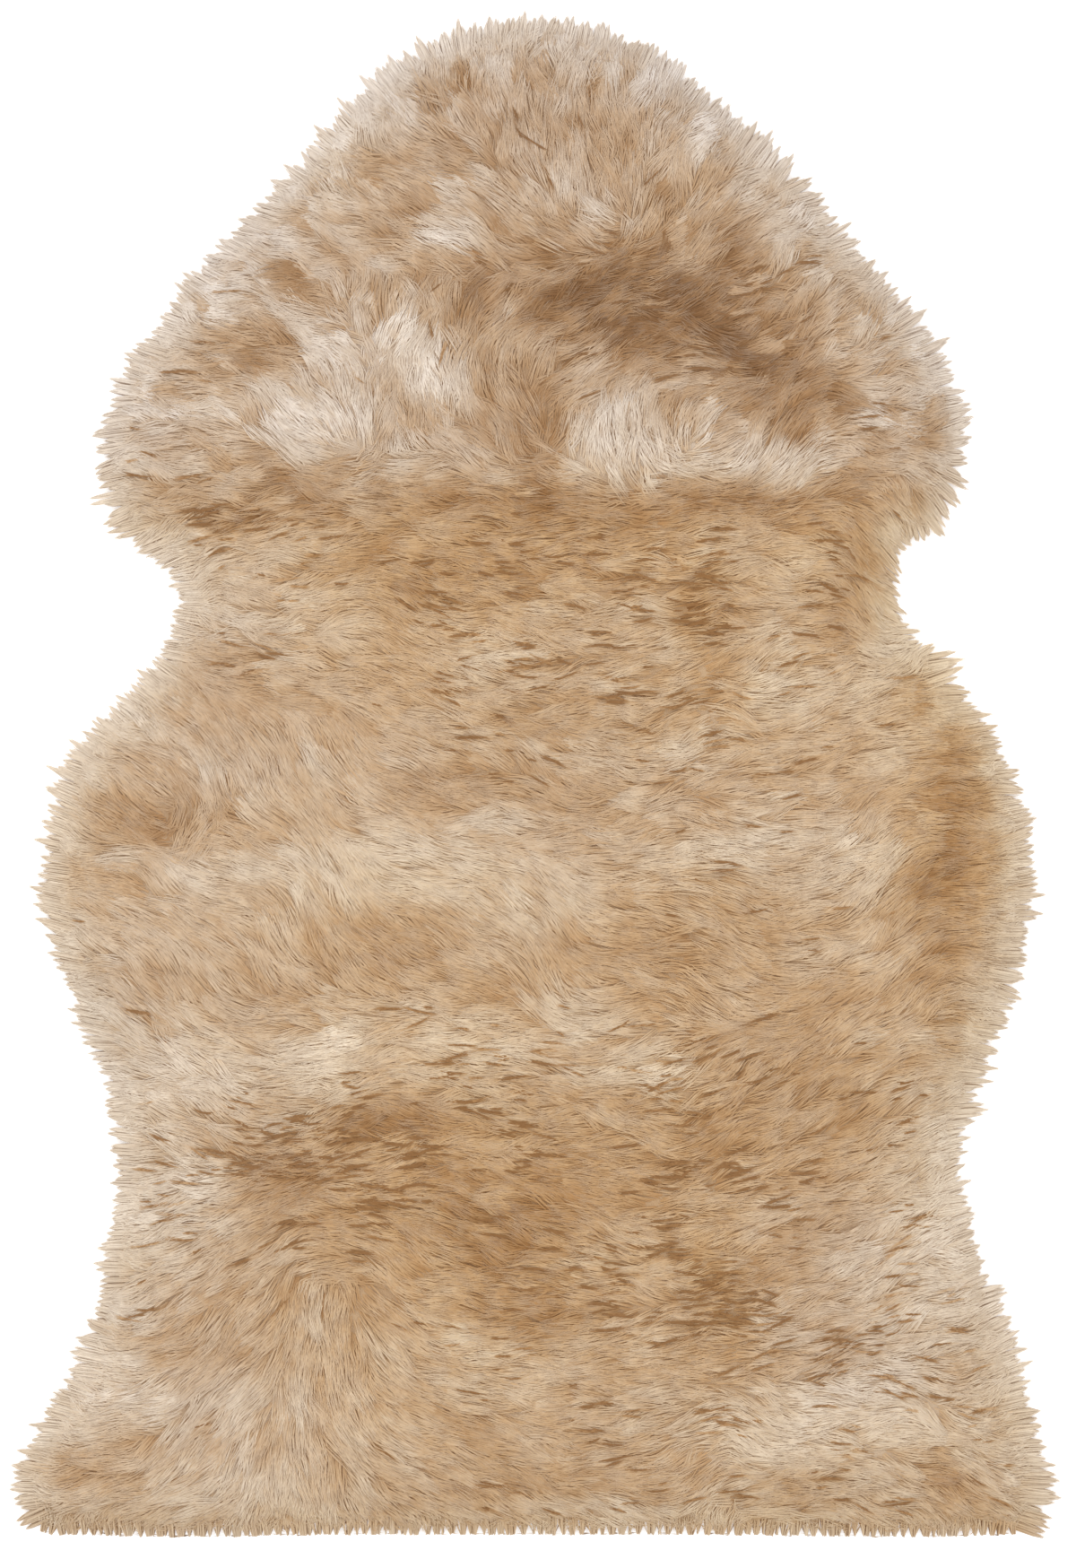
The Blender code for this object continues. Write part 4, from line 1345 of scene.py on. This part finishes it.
WHITE = (1.0, 1.0, 1.0, 1.0)
FLOOR_SHADER = {
    "Base Color": (0.93, 0.93, 0.93, 1.0),
    "Roughness": 0.9,
    "Emission Color": WHITE,
    "Emission Strength": 0.35,  # a white sweep, lit so that no shadow shows
}
SOFTBOXES = (
    # name, place, size, watts
    ("overhead", (0.0, 0.0, 2.8), (2.8, 2.8), 74.0),
    ("key", (-1.6, 1.5, 1.9), (1.0, 1.0), 16.0),
)
SKY_STRENGTH = 0.74


def make_camera():
    """Looks straight down, from where the long side of the picture takes in VIEW_HEIGHT."""
    data = bpy.data.cameras.new("camera")
    data.lens = LENS
    data.sensor_width = FILM
    camera = bpy.data.objects.new("camera", data)
    camera.location = (*VIEW_CENTRE, VIEW_HEIGHT * LENS / FILM)
    bpy.context.scene.collection.objects.link(camera)
    bpy.context.scene.camera = camera


def make_floor():
    """A plain white sweep just under the rug."""
    mesh = bmesh.new()
    bmesh.ops.create_grid(mesh, x_segments=1, y_segments=1, size=6.0)
    bmesh.ops.translate(mesh, verts=mesh.verts, vec=(0.0, 0.0, -0.2 * MM))
    data = bpy.data.meshes.new("floor")
    mesh.to_mesh(data)
    mesh.free()
    data.materials.append(new_finish("pale_floor", FLOOR_SHADER)[0])
    floor = bpy.data.objects.new("floor", data)
    bpy.context.scene.collection.objects.link(floor)


def softbox(name, place, size, power):
    """A rectangular lamp that looks at the middle of the rug."""
    data = bpy.data.lights.new(name, "AREA")
    data.shape = "RECTANGLE"
    data.size, data.size_y = size
    data.energy = power
    lamp = bpy.data.objects.new(name, data)
    lamp.location = place
    towards = Vector((0.0, 0.0, 0.0)) - Vector(place)
    lamp.rotation_euler = towards.to_track_quat("-Z", "Y").to_euler()
    bpy.context.scene.collection.objects.link(lamp)


def make_studio():
    """Camera, floor, lamps and an even white sky."""
    make_camera()
    make_floor()
    for row in SOFTBOXES:
        softbox(*row)
    world = bpy.data.worlds.new("studio")
    world.use_nodes = True
    sky = world.node_tree.nodes["Background"]
    sky.inputs["Color"].default_value = WHITE
    sky.inputs["Strength"].default_value = SKY_STRENGTH
    bpy.context.scene.world = world
    bpy.context.scene.view_settings.view_transform = "Standard"


# The rug


def ray_tree(node):
    """What rays need to find a CAD node's surface."""
    mesh = merged_copy(node)
    tree = BVHTree.FromBMesh(mesh)
    mesh.free()
    return tree


def make_maps(loop):
    """What the wool is like at every place of the rug, by name."""
    depth = depth_map(loop, ray_tree("hide"))
    surface = wool_surface(depth, ray_tree("fleece"))
    maps = combed_maps(depth)
    maps["depth"] = depth
    maps["surface"] = surface
    maps["shade"] = shade_map(depth)
    maps["warmth"] = warmth_map()
    maps["streaks"] = drawn_out(maps, cloud(0.007, 9.5) + 0.8 * cloud(0.014, 10.5), 9)
    maps["tufts"] = cloud(0.016, 12.5)
    maps["neck"] = neck_map()
    maps["parted"] = (0.60 + patched(PARTINGS)).clip(0.0, 1.0)
    often = (0.40 + 1.3 * cloud(0.024, 17.5)).clip(0.0, 1.7)
    maps["slits"] = 1.6 * maps["parted"] ** 4 * often
    rise_y, rise_x = np.gradient(smoothed(surface, 3), GRID_STEP)
    maps["rise_x"] = rise_x.clip(-0.5, 0.5)
    maps["rise_y"] = rise_y.clip(-0.5, 0.5)
    return maps


WOOL_ZONES = ("hind_wool", "loin_wool", "girth_wool", "neck_wool")


def chosen(columns, rows):
    """These rows of a table of columns."""
    return {name: values[rows] for name, values in columns.items()}


def make_wool(maps, group):
    """The combed wool, in four pieces along the spine, and the locks of the rim."""
    combed = strand_finish("combed_wool", group)
    locks = plant_locks(maps, np.random.default_rng(SEEDS["locks"]))
    slits = part_slits(maps, np.random.default_rng(SEEDS["slits"]))
    # painted shadows and highlights round the slits
    maps["fringes"] = slit_fringes(slits)
    wavy = locks["y"] + 0.010 * np.sin(41.0 * locks["x"])  # so that no seam shows
    lock_parts = np.array_split(np.argsort(wavy), len(WOOL_ZONES))
    slit_parts = np.array_split(np.argsort(slits["y"]), len(WOOL_ZONES))
    pieces = []
    for number, name in enumerate(WOOL_ZONES):
        own_locks = chosen(locks, lock_parts[number])
        own_slits = chosen(slits, slit_parts[number])
        strands = joined(
            field_strands(maps, own_locks, SEEDS["lock_strands"] + number),
            slit_strands(maps, own_slits, SEEDS["slit_strands"] + number),
        )
        mesh = strand_mesh(name, strands, SEEDS["wool_tones"] + number)
        pieces.append(piece(name, mesh, combed))
    rim = strand_mesh("rim_wool", rim_strands(maps, SEEDS["rim_strands"]), SEEDS["rim_tones"])
    pieces.append(piece("rim_wool", rim, combed))
    return pieces


def make_rug():
    """The skin, its bed of wool and its locks."""
    loop = skin_outline()
    maps = make_maps(loop)
    group = wool_tone()
    skin = make_skin(loop, leather_finish())
    bed = make_bed(loop, maps, matted_finish(group))
    wool = make_wool(maps, group)
    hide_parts("hide")
    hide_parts("fleece")


make_studio()
make_rug()
